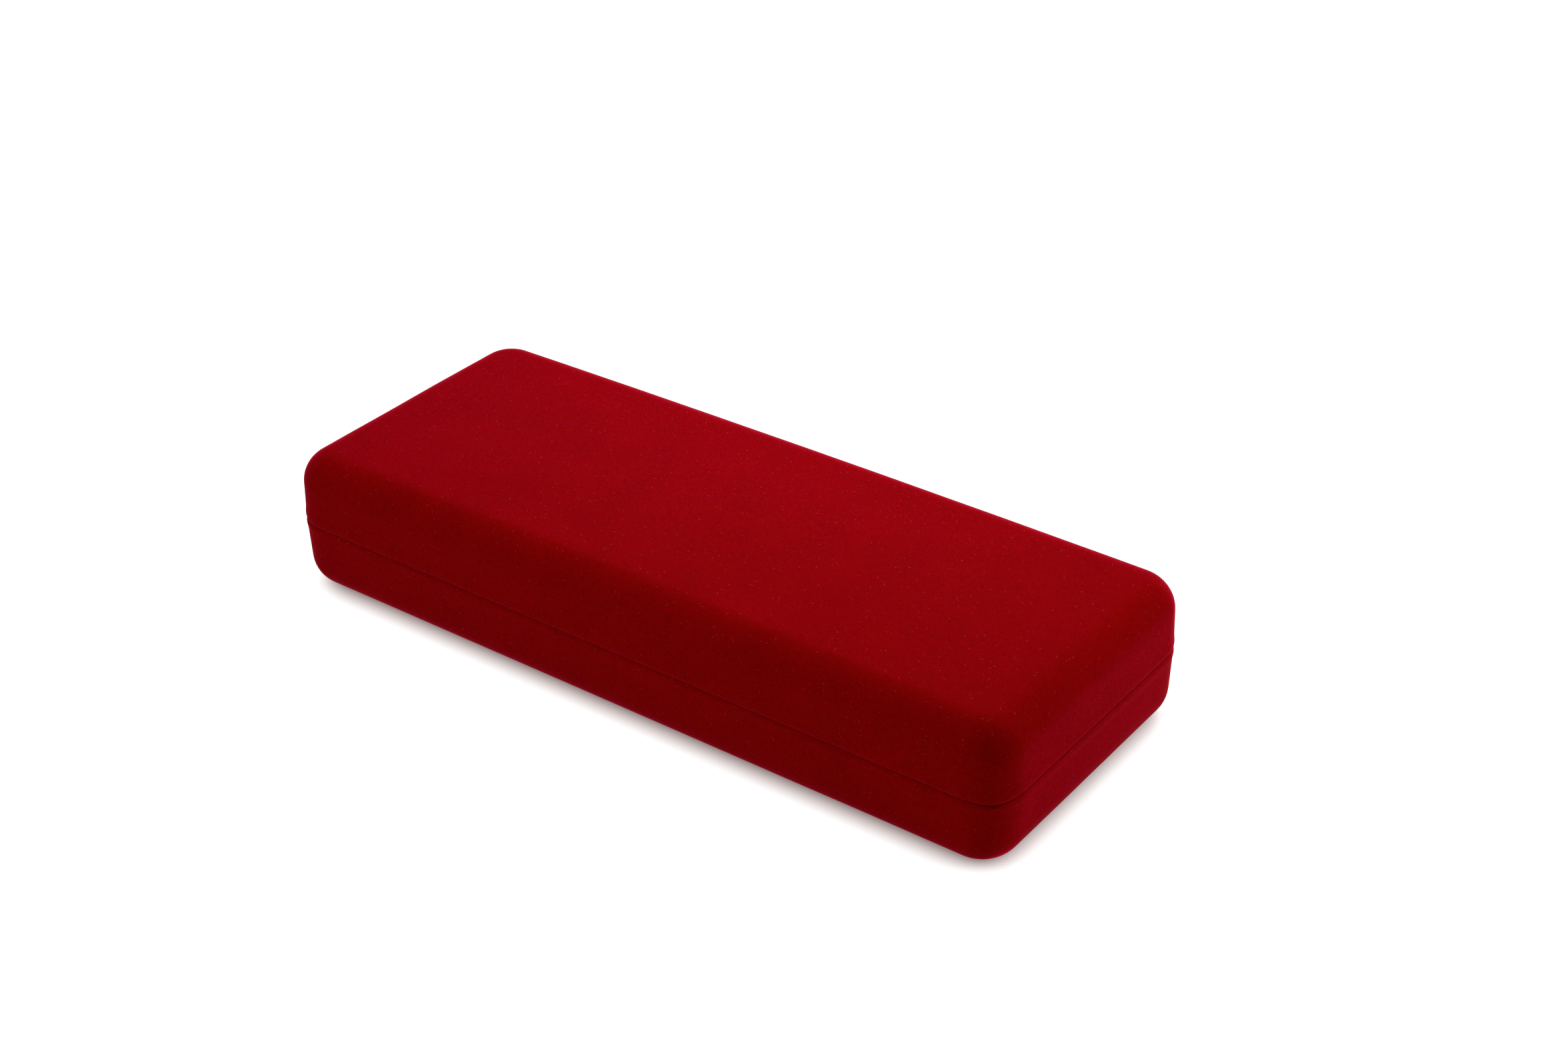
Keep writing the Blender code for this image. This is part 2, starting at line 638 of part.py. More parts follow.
def cam_spring(name):
    """A bent strip: a leg down in the base housing and an arm under the lid's knuckle."""
    arm_z = -SPRING_TOP - SPRING_SHEET / 2
    path = [(-SPRING_LEG, SPRING_SHORT - BASE_LEAF_REACH), (-SPRING_LEG, arm_z - SPRING_BEND)]
    for run, rise in round_edge(SPRING_BEND):
        path.append((run - SPRING_LEG, arm_z - SPRING_BEND + rise))
    path.append((SPRING_OVERHANG, arm_z))
    return strip(name, path, SPRING_SHEET, SPRING_WIDTH)


def material(name, colour, roughness, metallic=0.0):
    made = bpy.data.materials.new(name)
    made.use_nodes = True
    shader = made.node_tree.nodes["Principled BSDF"]
    shader.inputs["Base Color"].default_value = (*colour, 1.0)
    shader.inputs["Roughness"].default_value = roughness
    shader.inputs["Metallic"].default_value = metallic
    return made


def finish(piece, look, axis=None):
    """Gives a piece its material and smooth shading, and hangs it on the lid's axis if it moves."""
    piece.data.materials.clear()
    piece.data.materials.append(look)
    piece.data.shade_smooth()
    piece.data.set_sharp_from_angle(angle=SMOOTH_ANGLE)
    if axis:
        piece.parent = axis
        piece.matrix_parent_inverse = axis.matrix_world.inverted()


def build():
    for old in list(bpy.data.objects):
        bpy.data.objects.remove(old)

    axis = bpy.data.objects.new("lid_axis", None)
    axis.location = (0.0, AXIS_Y, AXIS_Z)
    bpy.context.scene.collection.objects.link(axis)
    bpy.context.view_layer.update()

    velvet = material("crimson velvet", (0.19, 0.0, 0.004), 0.9)
    shell = material("wine plastic", (0.1, 0.008, 0.012), 0.45)
    lining_foam = material("white foam", (0.8, 0.78, 0.72), 0.95)
    board = material("grey card", (0.42, 0.4, 0.36), 0.9)
    satin = material("ivory satin", (0.78, 0.72, 0.6), 0.35)
    brass = material("brass", (0.7, 0.5, 0.22), 0.3, 1.0)
    steel = material("spring steel", (0.55, 0.56, 0.58), 0.3, 1.0)

    finish(base_velvet(), velvet)
    finish(base_shell(), shell)
    finish(base_foam(), lining_foam)
    finish(insert_sheet("insert_former", VELVET + GLUE_GAP, INSERT_THICK), shell)
    finish(insert_sheet("insert_velvet", 0.0, VELVET), velvet)

    finish(lid_velvet(), velvet, axis)
    finish(lid_shell(), shell, axis)
    finish(lid_pad_board(), board, axis)
    finish(lid_pad_foam(), lining_foam, axis)
    finish(lid_satin_cover(), satin, axis)

    for side, x in HINGES.items():
        pieces = [
            (base_leaf("hinge_" + side + "_base_leaf"), brass, None),
            (hinge_pin("hinge_" + side + "_pin"), steel, None),
            (cam_spring("hinge_" + side + "_spring"), steel, None),
            (lid_leaf("hinge_" + side + "_lid_leaf"), brass, axis),
        ]
        for piece, look, parent in pieces:
            piece.location = (x, AXIS_Y, AXIS_Z)
            finish(piece, look, parent)


build()
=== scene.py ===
"""The looks of the velvet presentation case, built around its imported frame.

The velvet covers, the velvet of the display insert, the satin pad in the lid and the foams are
modelled here as fine meshes. The shells, the former, the card and the hinges stay as the frame
has them and get their materials. Metres, +Z up, the front at -Y and the hinges at +Y.
"""

import json
import math
from collections import namedtuple

import bmesh
import bpy
from mathutils import Matrix, Vector, noise

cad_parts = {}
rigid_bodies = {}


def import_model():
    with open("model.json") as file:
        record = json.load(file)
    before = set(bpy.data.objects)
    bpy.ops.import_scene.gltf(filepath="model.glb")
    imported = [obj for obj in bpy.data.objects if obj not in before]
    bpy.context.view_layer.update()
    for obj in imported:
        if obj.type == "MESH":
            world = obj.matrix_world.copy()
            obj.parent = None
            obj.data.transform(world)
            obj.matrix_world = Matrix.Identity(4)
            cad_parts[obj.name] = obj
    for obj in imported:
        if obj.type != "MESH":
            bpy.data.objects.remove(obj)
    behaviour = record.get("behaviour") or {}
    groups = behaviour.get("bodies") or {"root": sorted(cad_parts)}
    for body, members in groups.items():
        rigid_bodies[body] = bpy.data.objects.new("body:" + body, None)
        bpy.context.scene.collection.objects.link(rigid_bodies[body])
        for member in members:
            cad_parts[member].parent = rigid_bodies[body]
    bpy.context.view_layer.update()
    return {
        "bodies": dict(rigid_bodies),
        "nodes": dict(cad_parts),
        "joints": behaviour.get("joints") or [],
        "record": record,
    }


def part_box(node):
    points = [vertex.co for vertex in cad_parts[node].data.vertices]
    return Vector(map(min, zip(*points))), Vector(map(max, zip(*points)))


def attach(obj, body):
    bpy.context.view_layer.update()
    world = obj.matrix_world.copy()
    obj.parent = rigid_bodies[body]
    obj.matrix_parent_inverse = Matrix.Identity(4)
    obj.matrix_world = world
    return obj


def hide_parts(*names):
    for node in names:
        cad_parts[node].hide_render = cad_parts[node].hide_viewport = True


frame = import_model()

MM = 0.001
DEG = math.pi / 180

# The rounded form of the closed case
CORNER_RADIUS = 9.0 * MM
SHARPEST = 0.6 * MM
BASE_FILLET = 7.2 * MM
LID_FILLET = 6.9 * MM
BASE_DRAFT = 2.1 * DEG
LID_DRAFT = 2.0 * DEG
LID_CROWN = 0.3 * MM
LID_SWELL = 0.7 * MM

# Its size and its hinge, from the frame
base_low, base_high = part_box("base_velvet")
lid_low, lid_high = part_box("lid_velvet")
insert_low, insert_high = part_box("insert_velvet")
CASE_LENGTH = base_high.x - base_low.x
CASE_WIDTH = base_high.y - base_low.y
BASE_HEIGHT = base_high.z
LID_HEIGHT = lid_high.z - lid_low.z - LID_CROWN - LID_SWELL
HINGE = frame["joints"][0]
AXIS_Y, AXIS_Z = HINGE["pos_m"][1:]
AXIS_DEPTH = CASE_WIDTH / 2 - AXIS_Y
BEVEL = HINGE["range_deg"][1] * DEG / 2

# The layers of a wall, from the outside in
VELVET = 0.7 * MM
GLUE_GAP = 0.3 * MM
SHELL_WALL = 1.5 * MM
PIECE_GAP = 0.3 * MM
TURN_IN_LAYER = VELVET + GLUE_GAP + SHELL_WALL + GLUE_GAP
WALL_LAYER = TURN_IN_LAYER + VELVET
LINING_LAYER = VELVET + GLUE_GAP + SHELL_WALL + PIECE_GAP

# The rims: their rounding, the pile in the seam, the bead beside it, and how far the base's cover turns in
BASE_RIM_ROUND = 0.7 * MM
LID_RIM_ROUND = 0.45 * MM
END_RIM_SHARE = 0.1
RIM_PILE = 0.14 * MM
PILE_FADE = 0.6 * MM
RIM_BEAD = 0.12 * MM
BEAD_HEIGHT = 1.1 * MM
BEAD_SPREAD = 0.7 * MM
BASE_TURN_IN = 4.0 * MM

# How far from the rim the slope behind the hinge axis fades out
RELIEF_REACH = 6.0 * MM

# The gaps that the hinges lie in, as distances from the axis
HINGE_NODES = ("hinge_left_base_leaf", "hinge_right_base_leaf")
NOTCH_HALF = 8.3 * MM
NOTCH_DEPTH = 2.25 * MM
POCKET_INNER = 2.2 * MM
SLOT_OUTER = 0.5 * MM
HOUSING_HALF = 10.3 * MM
HOUSING_INNER = 2.8 * MM
HOUSING_WALL = 1.2 * MM
HOUSING_LIP = 0.6 * MM
OVERRUN = 3.0 * MM

# The display insert
INSERT_INSET = CASE_LENGTH / 2 - insert_high.x
INSERT_TOP = insert_high.z
INSERT_BOTTOM = insert_low.z
INSERT_EDGE = 2.2 * MM
INSERT_THICK = 1.8 * MM
RECESS_FLOOR = frame["record"]["mounts"][1]["pos_m"][2]
RECESS_END_LAND = 11.0 * MM
RECESS_WIDTH = 24.0 * MM
RECESS_DRAFT = 8.0 * DEG
RECESS_EDGE = 2.4 * MM
RECESS_FILLET = 2.5 * MM
RECESS_END_RADIUS = 11.0 * MM
SCOOP_LENGTH = 42.0 * MM
SCOOP_LAND = 9.6 * MM
SCOOP_RADIUS = 9.0 * MM
SCOOP_BLEND = 7.0 * MM

# The lid's lining
SATIN = 0.4 * MM
SATIN_FOLD = 6.0 * MM
PAD_BOARD = 1.0 * MM
PAD_FOAM = 2.2 * MM
PAD_CROWN = 1.6 * MM
PAD_EDGE = 2.0 * MM
FOAM_ROOM = 0.8 * MM

# The satin as cloth that swells
SATIN_SHEET = 0.25 * MM
SATIN_ROOM = 0.2 * MM
SATIN_REACH = 0.4 * MM
SATIN_CELL = 2.0 * MM
SATIN_HELD = 1.5 * MM
SATIN_FRAMES = 20
SATIN_POINT_MASS = 0.002
SATIN_PRESSURE = 4.0
SATIN_SHRINK = -0.04
SATIN_BENDING = 0.05

# Its gathers, where they read the noise, and the normals that count as looking down
PUCKER = 0.65 * MM
PUCKER_REACH = 5.5 * MM
PUCKER_SPACING = 4.2 * MM
PUCKER_LANE = 0.4
PUCKER_LEVEL = 0.3
DOWNWARD = -0.5

# How soft surfaces drift from their true form
WAVE = 0.07 * MM
WAVE_LENGTH = 19.0 * MM
RIPPLE = 0.022 * MM
RIPPLE_LENGTH = 5.5 * MM
SETTLE = 5.0 * MM
DRIFT_SEED = 11
noise.seed_set(DRIFT_SEED)

# The near corner, where the cloth of both rims sags a little and gapes at one spot
SAG_PLACE = Vector((87.2 * MM, -33.0 * MM, 16.7 * MM))
SAG = 0.55 * MM
SAG_REACH = 3.2 * MM
GAPE = 0.55 * MM
GAPE_REACH = 1.0 * MM

# Facets, and the angle from which an edge stays sharp
CORNER_STEPS = 14
LONG_RUN_STEPS = 54
SHORT_RUN_STEPS = 18
FILLET_STEPS = 14
WALL_STEPS = 8
ROUND_STEPS = 5
CROWN_STEPS = 20
INSERT_QUARTER_STEPS = 90
PATH_STEPS = 24
LAND_STEPS = 12
RECESS_STEPS = 6
FLOOR_STEPS = 10
SMOOTH_ANGLE = 40 * DEG

# A half's heights start at its rim and go the way of up: down for the base, up for the lid
Half = namedtuple("Half", "rim up height crown swell fillet draft rim_round")
BASE = Half(BASE_HEIGHT, -1, BASE_HEIGHT, 0.0, 0.0, BASE_FILLET, BASE_DRAFT, BASE_RIM_ROUND)
LID = Half(lid_low.z, 1, LID_HEIGHT, LID_CROWN, LID_SWELL, LID_FILLET, LID_DRAFT, LID_RIM_ROUND)

# Heights of the lid's lining above its rim
PAD_BACK = LID_HEIGHT - LINING_LAYER
FOAM_BACK = PAD_BACK - SATIN - PIECE_GAP - PAD_BOARD - PIECE_GAP
LINING_FACE = FOAM_BACK - PAD_FOAM - PIECE_GAP - SATIN
LID_TURN_IN = LINING_FACE - PIECE_GAP


def case_outline(inset):
    """The plan of the case drawn in by an inset, with points along its straight runs as well."""
    radius = max(CORNER_RADIUS - inset, SHARPEST)
    centre_x = CASE_LENGTH / 2 - inset - radius
    centre_y = CASE_WIDTH / 2 - inset - radius
    centres = [Vector((x * centre_x, y * centre_y)) for x, y in ((1, -1), (1, 1), (-1, 1), (-1, -1))]
    points = []
    for corner, centre in enumerate(centres):
        for step in range(CORNER_STEPS + 1):
            angle = (corner - 1 + step / CORNER_STEPS) * math.pi / 2
            spoke = radius * Vector((math.cos(angle), math.sin(angle)))
            points.append(centre + spoke)
        steps = LONG_RUN_STEPS if corner % 2 else SHORT_RUN_STEPS
        start = centre + spoke
        end = centres[(corner + 1) % 4] + spoke
        points += [start.lerp(end, step / steps) for step in range(1, steps)]
    return points


def level(outline, z):
    """A plan outline as a ring at one height."""
    return [Vector((x, y, z)) for x, y in outline]


def wall_profile(half, layer, start, stop):
    """A layer of a half's wall and fillet as (inset, height above the rim), between two heights."""
    lean = math.tan(half.draft)
    radius = half.fillet - layer
    centre_height = half.height - half.fillet
    centre_inset = half.fillet / math.cos(half.draft) + centre_height * lean
    first_angle, last_angle = [
        math.asin(max(-1, min(1, (height - centre_height) / radius))) for height in (start, stop)]
    points = []
    if first_angle < half.draft:
        first_angle = half.draft
        foot = centre_height + radius * math.sin(half.draft)
        for step in range(WALL_STEPS):
            height = start + (foot - start) * (step / WALL_STEPS) ** 2
            points.append((layer / math.cos(half.draft) + height * lean, height))
    for step in range(FILLET_STEPS + 1):
        angle = first_angle + (last_angle - first_angle) * step / FILLET_STEPS
        points.append((centre_inset - radius * math.cos(angle), centre_height + radius * math.sin(angle)))
    return points


def full_wall(half, layer, start):
    """The same from a height all the way to the flat of the half."""
    return wall_profile(half, layer, start, half.height - layer)


def swollen(half, x, height):
    """A height above the rim, raised by the swell along the middle of the half's length."""
    along = 1 - (2 * x / CASE_LENGTH) ** 2
    return height + half.swell * along * (height / half.height) ** 2


def half_ring(half, inset, height, layer=0.0):
    """One ring of a half. Behind the hinge axis it slopes away, so that the lid can swing."""
    ring = []
    for x, y in case_outline(inset):
        slope = (y - AXIS_Y) * math.tan(BEVEL) + layer / math.cos(BEVEL) - layer
        relief = max(0, slope) * max(0, 1 - (height - layer) / RELIEF_REACH)
        ring.append(Vector((x, y, half.rim + half.up * (swollen(half, x, height) + relief))))
    return ring


def crowned_rings(outline, z, rise, power):
    """Rings drawn in from an outline that rise to a crown in the middle."""
    rings = []
    for step in range(1, CROWN_STEPS):
        share = 1 - step / CROWN_STEPS
        top = z + rise * (1 - share ** 2) ** power
        rings.append([Vector((x * share, y * share, top)) for x, y in outline])
    return rings


def half_crown(half, inset, height):
    """The crowned middle of a half's top."""
    rings = crowned_rings(case_outline(inset), half.rim, half.up * half.crown, power=2)
    for ring in rings:
        for point in ring:
            point.z += half.up * swollen(half, point.x, height)
    return rings


def round_edge(radius):
    """A quarter round as (run, rise) from its start, up and over to its end."""
    angles = [math.pi / 2 * step / ROUND_STEPS for step in range(1, ROUND_STEPS + 1)]
    return [(radius - radius * math.cos(angle), radius * math.sin(angle)) for angle in angles]


def bead(height):
    """How far the pile stands out just above a rim, where the cloth is pulled over it."""
    return RIM_BEAD * math.exp(-((height - BEAD_HEIGHT) / BEAD_SPREAD) ** 2)


def near_sag(point, reach):
    """1 at the spot where the near corner's cloth sags, falling to 0 away from it."""
    return math.exp(-((point - SAG_PLACE).length / reach) ** 2)


def rim_ring(half, inset, height):
    """A ring of a half's rim: flatter at the ends, its pile in the seam but for the hinge axis."""
    ring = half_ring(half, inset, height)
    for point in ring:
        end_share = min(1, max(0, (abs(point.x) - CASE_LENGTH / 2 + CORNER_RADIUS) / CORNER_RADIUS))
        pile_share = min(1, abs(AXIS_Y - point.y) / PILE_FADE)
        flatter = height * end_share * (1 - END_RIM_SHARE)
        point.z -= half.up * (flatter + RIM_PILE * pile_share * (1 - height / half.rim_round))
        if half is BASE:
            point.z -= GAPE * near_sag(point, GAPE_REACH)
    return ring


def drift(point):
    """The small unevenness that soft pieces share, none at the foot or by the hinges, and the sag."""
    wave = WAVE * noise.noise_vector(point / WAVE_LENGTH)
    ripple = RIPPLE * noise.noise_vector(point / RIPPLE_LENGTH)
    sag = Vector((0.0, 0.0, -SAG * near_sag(point, SAG_REACH)))
    share = min(1, max(0, point.z) / SETTLE, max(0, AXIS_Y - point.y) / SETTLE)
    return (wave + ripple) * share + sag


def fill_rings(mesh, rings):
    """Skins the rings in order, and returns them as vertices."""
    rows = [[mesh.verts.new(point) for point in ring] for ring in rings]
    for lower, upper in zip(rows, rows[1:]):
        for k in range(len(lower)):
            mesh.faces.new((lower[k - 1], lower[k], upper[k], upper[k - 1]))
    return rows


def cap(mesh, ring):
    """Closes a ring with a fan about its middle."""
    middle = mesh.verts.new(sum((vert.co for vert in ring), Vector()) / len(ring))
    for k in range(len(ring)):
        mesh.faces.new((ring[k - 1], ring[k], middle))


def make_object(name, mesh):
    """Turns a mesh under construction into an object in the scene."""
    bmesh.ops.recalc_face_normals(mesh, faces=mesh.faces)
    data = bpy.data.meshes.new(name)
    mesh.to_mesh(data)
    mesh.free()
    piece = bpy.data.objects.new(name, data)
    bpy.context.scene.collection.objects.link(piece)
    return piece


def loft(name, rings, uneven=True):
    """A closed solid skinned through rings, let drift where it is soft."""
    mesh = bmesh.new()
    if uneven:
        rings = [[point + drift(point) for point in ring] for ring in rings]
    rows = fill_rings(mesh, rings)
    cap(mesh, rows[0])
    cap(mesh, rows[-1])
    return make_object(name, mesh)


def evaluated_mesh(piece):
    """The piece's mesh with its modifiers in, as new data."""
    evaluated = piece.evaluated_get(bpy.context.evaluated_depsgraph_get())
    return bpy.data.meshes.new_from_object(evaluated)


def bake(piece):
    """Puts the piece's modifiers into its mesh."""
    data = evaluated_mesh(piece)
    piece.modifiers.clear()
    piece.data = data


def cutter(low, high):
    """A plain box between two corners, for cutting."""
    sides = [(low[0], low[1]), (high[0], low[1]), (high[0], high[1]), (low[0], high[1])]
    mesh = bmesh.new()
    rows = fill_rings(mesh, [level(sides, low[2]), level(sides, high[2])])
    mesh.faces.new(rows[0])
    mesh.faces.new(rows[-1])
    return make_object("cutter", mesh)


def cut(target, tools):
    """Cuts the tools from the target and removes them."""
    for tool in tools:
        modifier = target.modifiers.new(tool.name, "BOOLEAN")
        modifier.operation = "DIFFERENCE"
        modifier.solver = "MANIFOLD"
        modifier.object = tool
    bake(target)
    for tool in tools:
        bpy.data.objects.remove(tool)
    return target


def hinge_places():
    """The middle of each hinge along the case."""
    boxes = [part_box(node) for node in HINGE_NODES]
    return [(low.x + high.x) / 2 for low, high in boxes]


def hinge_gaps(half, half_width, inner, outer, reach):
    """Cutters at each hinge, from inner to outer in depth and as far into the half as reach."""
    cutters = []
    for x in hinge_places():
        ends = sorted((AXIS_Z - half.up * OVERRUN, AXIS_Z + half.up * reach))
        low = (x - half_width, AXIS_Y - inner, ends[0])
        high = (x + half_width, AXIS_Y + outer, ends[1])
        cutters.append(cutter(low, high))
    return cutters


def velvet_cover(half, name, turn_in):
    """A velvet skin over one half, wrapped over the rim and turned in along the inner wall."""
    lean = math.tan(half.draft)
    round_runs = round_edge(half.rim_round)
    outer = [(inset - bead(height), height) for inset, height in full_wall(half, 0.0, half.rim_round)]
    inner = full_wall(half, VELVET, VELVET)
    rings = half_crown(half, *outer[-1])[::-1]
    rings += [half_ring(half, inset, height) for inset, height in outer[::-1]]
    rings += [rim_ring(half, run, half.rim_round - rise) for run, rise in round_runs]
    rings += [rim_ring(half, AXIS_DEPTH + step * PILE_FADE, 0.0) for step in (-1, 0, 1)]
    rings += [rim_ring(half, WALL_LAYER - run, half.rim_round - rise) for run, rise in round_runs[::-1]]
    for step in range(WALL_STEPS + 1):
        height = half.rim_round + (turn_in - half.rim_round) * step / WALL_STEPS
        rings.append(half_ring(half, WALL_LAYER + height * lean, height))
    rings.append(half_ring(half, TURN_IN_LAYER + turn_in * lean, turn_in))
    rings.append(half_ring(half, TURN_IN_LAYER, VELVET, VELVET))
    rings.append(half_ring(half, AXIS_DEPTH + VELVET * math.tan(BEVEL / 2), VELVET, VELVET))
    rings += [half_ring(half, inset, height, VELVET) for inset, height in inner]
    rings += half_crown(half, *inner[-1])
    return loft(name, rings)


def base_velvet_cover():
    """The base's velvet, notched and slotted for the hinges."""
    cover = velvet_cover(BASE, "base_velvet_cover", BASE_TURN_IN)
    gaps = hinge_gaps(BASE, NOTCH_HALF, POCKET_INNER, AXIS_DEPTH + OVERRUN, NOTCH_DEPTH)
    gaps += hinge_gaps(BASE, NOTCH_HALF, POCKET_INNER, -SLOT_OUTER, BASE_TURN_IN + OVERRUN)
    return cut(cover, gaps)


def lid_velvet_cover():
    """The lid's velvet, notched and slotted for the hinges and open over their housings."""
    cover = velvet_cover(LID, "lid_velvet_cover", LID_TURN_IN)
    gaps = hinge_gaps(LID, NOTCH_HALF, WALL_LAYER, AXIS_DEPTH + OVERRUN, NOTCH_DEPTH)
    gaps += hinge_gaps(LID, NOTCH_HALF, WALL_LAYER, -SLOT_OUTER, LID_TURN_IN + OVERRUN)
    gap_half = HOUSING_HALF + PIECE_GAP
    start = NOTCH_DEPTH + HOUSING_LIP - PIECE_GAP
    for x in hinge_places():
        low = (x - gap_half, AXIS_Y - HOUSING_INNER - OVERRUN, AXIS_Z + start)
        high = (x + gap_half, AXIS_Y - SLOT_OUTER, LID.rim + LID_TURN_IN + OVERRUN)
        gaps.append(cutter(low, high))
    return cut(cover, gaps)


def rounded_path(corners, steps):
    """A path from its first to its last corner, with the corners between rounded."""
    points = [Vector(corners[0][:2])]
    for k in range(1, len(corners) - 1):
        here = Vector(corners[k][:2])
        before = Vector(corners[k - 1][:2]) - here
        after = Vector(corners[k + 1][:2]) - here
        half = before.angle(after) / 2
        reach = corners[k][2] / math.tan(half)
        centre = here + (before.normalized() + after.normalized()).normalized() * (reach / math.cos(half))
        spoke = here + before.normalized() * reach - centre
        turn = math.copysign(math.pi - 2 * half, after.cross(before))
        points += [centre + Matrix.Rotation(turn * step / steps, 2) @ spoke for step in range(steps + 1)]
    points.append(Vector(corners[-1][:2]))
    return points


def even_steps(path, count):
    """Points at equal steps along a path, its ends included."""
    lengths = [0.0]
    for start, end in zip(path, path[1:]):
        lengths.append(lengths[-1] + (end - start).length)
    points = []
    k = 0
    for step in range(count + 1):
        place = lengths[-1] * step / count
        while k < len(path) - 2 and lengths[k + 1] < place:
            k += 1
        points.append(path[k].lerp(path[k + 1], (place - lengths[k]) / (lengths[k + 1] - lengths[k])))
    return points


def mirrored_ring(corners):
    """A closed ring from the corners of one quarter, which run from the +X to the +Y axis."""
    quarter = even_steps(rounded_path(corners, PATH_STEPS), INSERT_QUARTER_STEPS)
    ring = list(quarter)
    ring += [Vector((-x, y)) for x, y in quarter[-2::-1]]
    ring += [Vector((-x, -y)) for x, y in quarter[1:]]
    ring += [Vector((x, -y)) for x, y in quarter[-2:0:-1]]
    return ring


def insert_outline(inset):
    """The outer plan of the insert drawn in by an inset, from the case's edge."""
    x = CASE_LENGTH / 2 - inset
    y = CASE_WIDTH / 2 - inset
    return mirrored_ring([(x, 0.0), (x, y, max(CORNER_RADIUS - inset, SHARPEST)), (0.0, y)])


def recess_outline(inset):
    """The recess drawn in by an inset: long and round-ended, with a finger scoop each side."""
    end_x = CASE_LENGTH / 2 - INSERT_INSET - RECESS_END_LAND - inset
    end_y = RECESS_WIDTH / 2 - inset
    scoop_x = SCOOP_LENGTH / 2 - inset
    scoop_y = CASE_WIDTH / 2 - INSERT_INSET - SCOOP_LAND - inset
    end_radius = max(min(RECESS_END_RADIUS - inset, end_y - SHARPEST), SHARPEST)
    scoop_radius = max(SCOOP_RADIUS - inset, SHARPEST)
    blend = min(SCOOP_BLEND + inset, scoop_y - end_y - scoop_radius)
    corners = [(end_x, 0.0), (end_x, end_y, end_radius), (scoop_x, end_y, max(blend, SHARPEST))]
    corners += [(scoop_x, scoop_y, scoop_radius), (0.0, scoop_y)]
    return mirrored_ring(corners)


def recess_profile(depth):
    """The recess at a depth under the insert's top face, as (inset, height), edge to floor."""
    across = math.cos(RECESS_DRAFT)
    down = math.sin(RECESS_DRAFT)
    edge_height = INSERT_TOP - RECESS_EDGE
    fillet_height = RECESS_FLOOR + RECESS_FILLET
    run = (edge_height + RECESS_EDGE * down + RECESS_FILLET * down - fillet_height) / across
    fillet_inset = RECESS_EDGE * across + run * down + RECESS_FILLET * across
    points = []
    for step in range(RECESS_STEPS + 1):
        angle = math.pi / 2 + (RECESS_DRAFT - math.pi / 2) * step / RECESS_STEPS
        radius = RECESS_EDGE - depth
        points.append((radius * math.cos(angle), edge_height + radius * math.sin(angle)))
    for step in range(RECESS_STEPS + 1):
        angle = RECESS_DRAFT + (math.pi / 2 - RECESS_DRAFT) * step / RECESS_STEPS
        radius = RECESS_FILLET + depth
        points.append((fillet_inset - radius * math.cos(angle), fillet_height - radius * math.sin(angle)))
    start, end = points[RECESS_STEPS], points[RECESS_STEPS + 1]
    wall = []
    for step in range(1, RECESS_STEPS):
        share = step / RECESS_STEPS
        wall.append((start[0] + (end[0] - start[0]) * share, start[1] + (end[1] - start[1]) * share))
    return points[:RECESS_STEPS + 1] + wall + points[RECESS_STEPS + 1:]


def insert_face(depth):
    """Rings of one face of the insert's velvet, from its hem over the land into the recess."""
    radius = INSERT_EDGE - depth
    hem = INSERT_INSET + depth
    shoulder = INSERT_TOP - INSERT_EDGE
    rings = [level(insert_outline(hem), INSERT_BOTTOM), level(insert_outline(hem), shoulder)]
    rings += [level(insert_outline(hem + run), shoulder + rise) for run, rise in round_edge(radius)]
    recess = [level(recess_outline(inset), height) for inset, height in recess_profile(depth)]
    pairs = list(zip(rings[-1], recess[0]))
    for step in range(1, LAND_STEPS):
        rings.append([outer.lerp(inner, step / LAND_STEPS) for outer, inner in pairs])
    rings += recess
    for step in range(1, FLOOR_STEPS):
        share = 1 - step / FLOOR_STEPS
        rings.append([Vector((x * share, y * share, z)) for x, y, z in recess[-1]])
    return rings


def insert_velvet_lining():
    """The velvet of the insert as a closed skin: its top face, its hem and its glued face."""
    mesh = bmesh.new()
    hems = []
    for depth in (0.0, VELVET):
        rings = [[point + drift(point) for point in ring] for ring in insert_face(depth)]
        rows = fill_rings(mesh, rings)
        cap(mesh, rows[-1])
        hems.append(rows[0])
    top, bottom = hems
    for k in range(len(top)):
        mesh.faces.new((top[k - 1], top[k], bottom[k], bottom[k - 1]))
    return make_object("insert_velvet_lining", mesh)


def base_foam_block():
    """The foam block inside the insert's skirt, with room for the recess and the housings."""
    foam_top = INSERT_TOP - INSERT_THICK - PIECE_GAP
    side = INSERT_INSET + INSERT_THICK + PIECE_GAP
    wall = full_wall(BASE, LINING_LAYER, BASE_HEIGHT - foam_top)
    rings = [level(case_outline(max(inset, side)), BASE.rim - height) for inset, height in wall]
    recess = recess_profile(INSERT_THICK + PIECE_GAP)[RECESS_STEPS:]
    hollow = [level(recess_outline(recess[0][0]), foam_top + OVERRUN)]
    hollow += [level(recess_outline(inset), height) for inset, height in recess]
    tools = [loft("hollow", hollow)]
    for x in hinge_places():
        low = (x - HOUSING_HALF - PIECE_GAP, AXIS_Y - POCKET_INNER - HOUSING_WALL - PIECE_GAP, -OVERRUN)
        high = (x + HOUSING_HALF + PIECE_GAP, AXIS_Y + AXIS_DEPTH, INSERT_BOTTOM)
        tools.append(cutter(low, high))
    return cut(loft("base_foam_block", rings), tools)


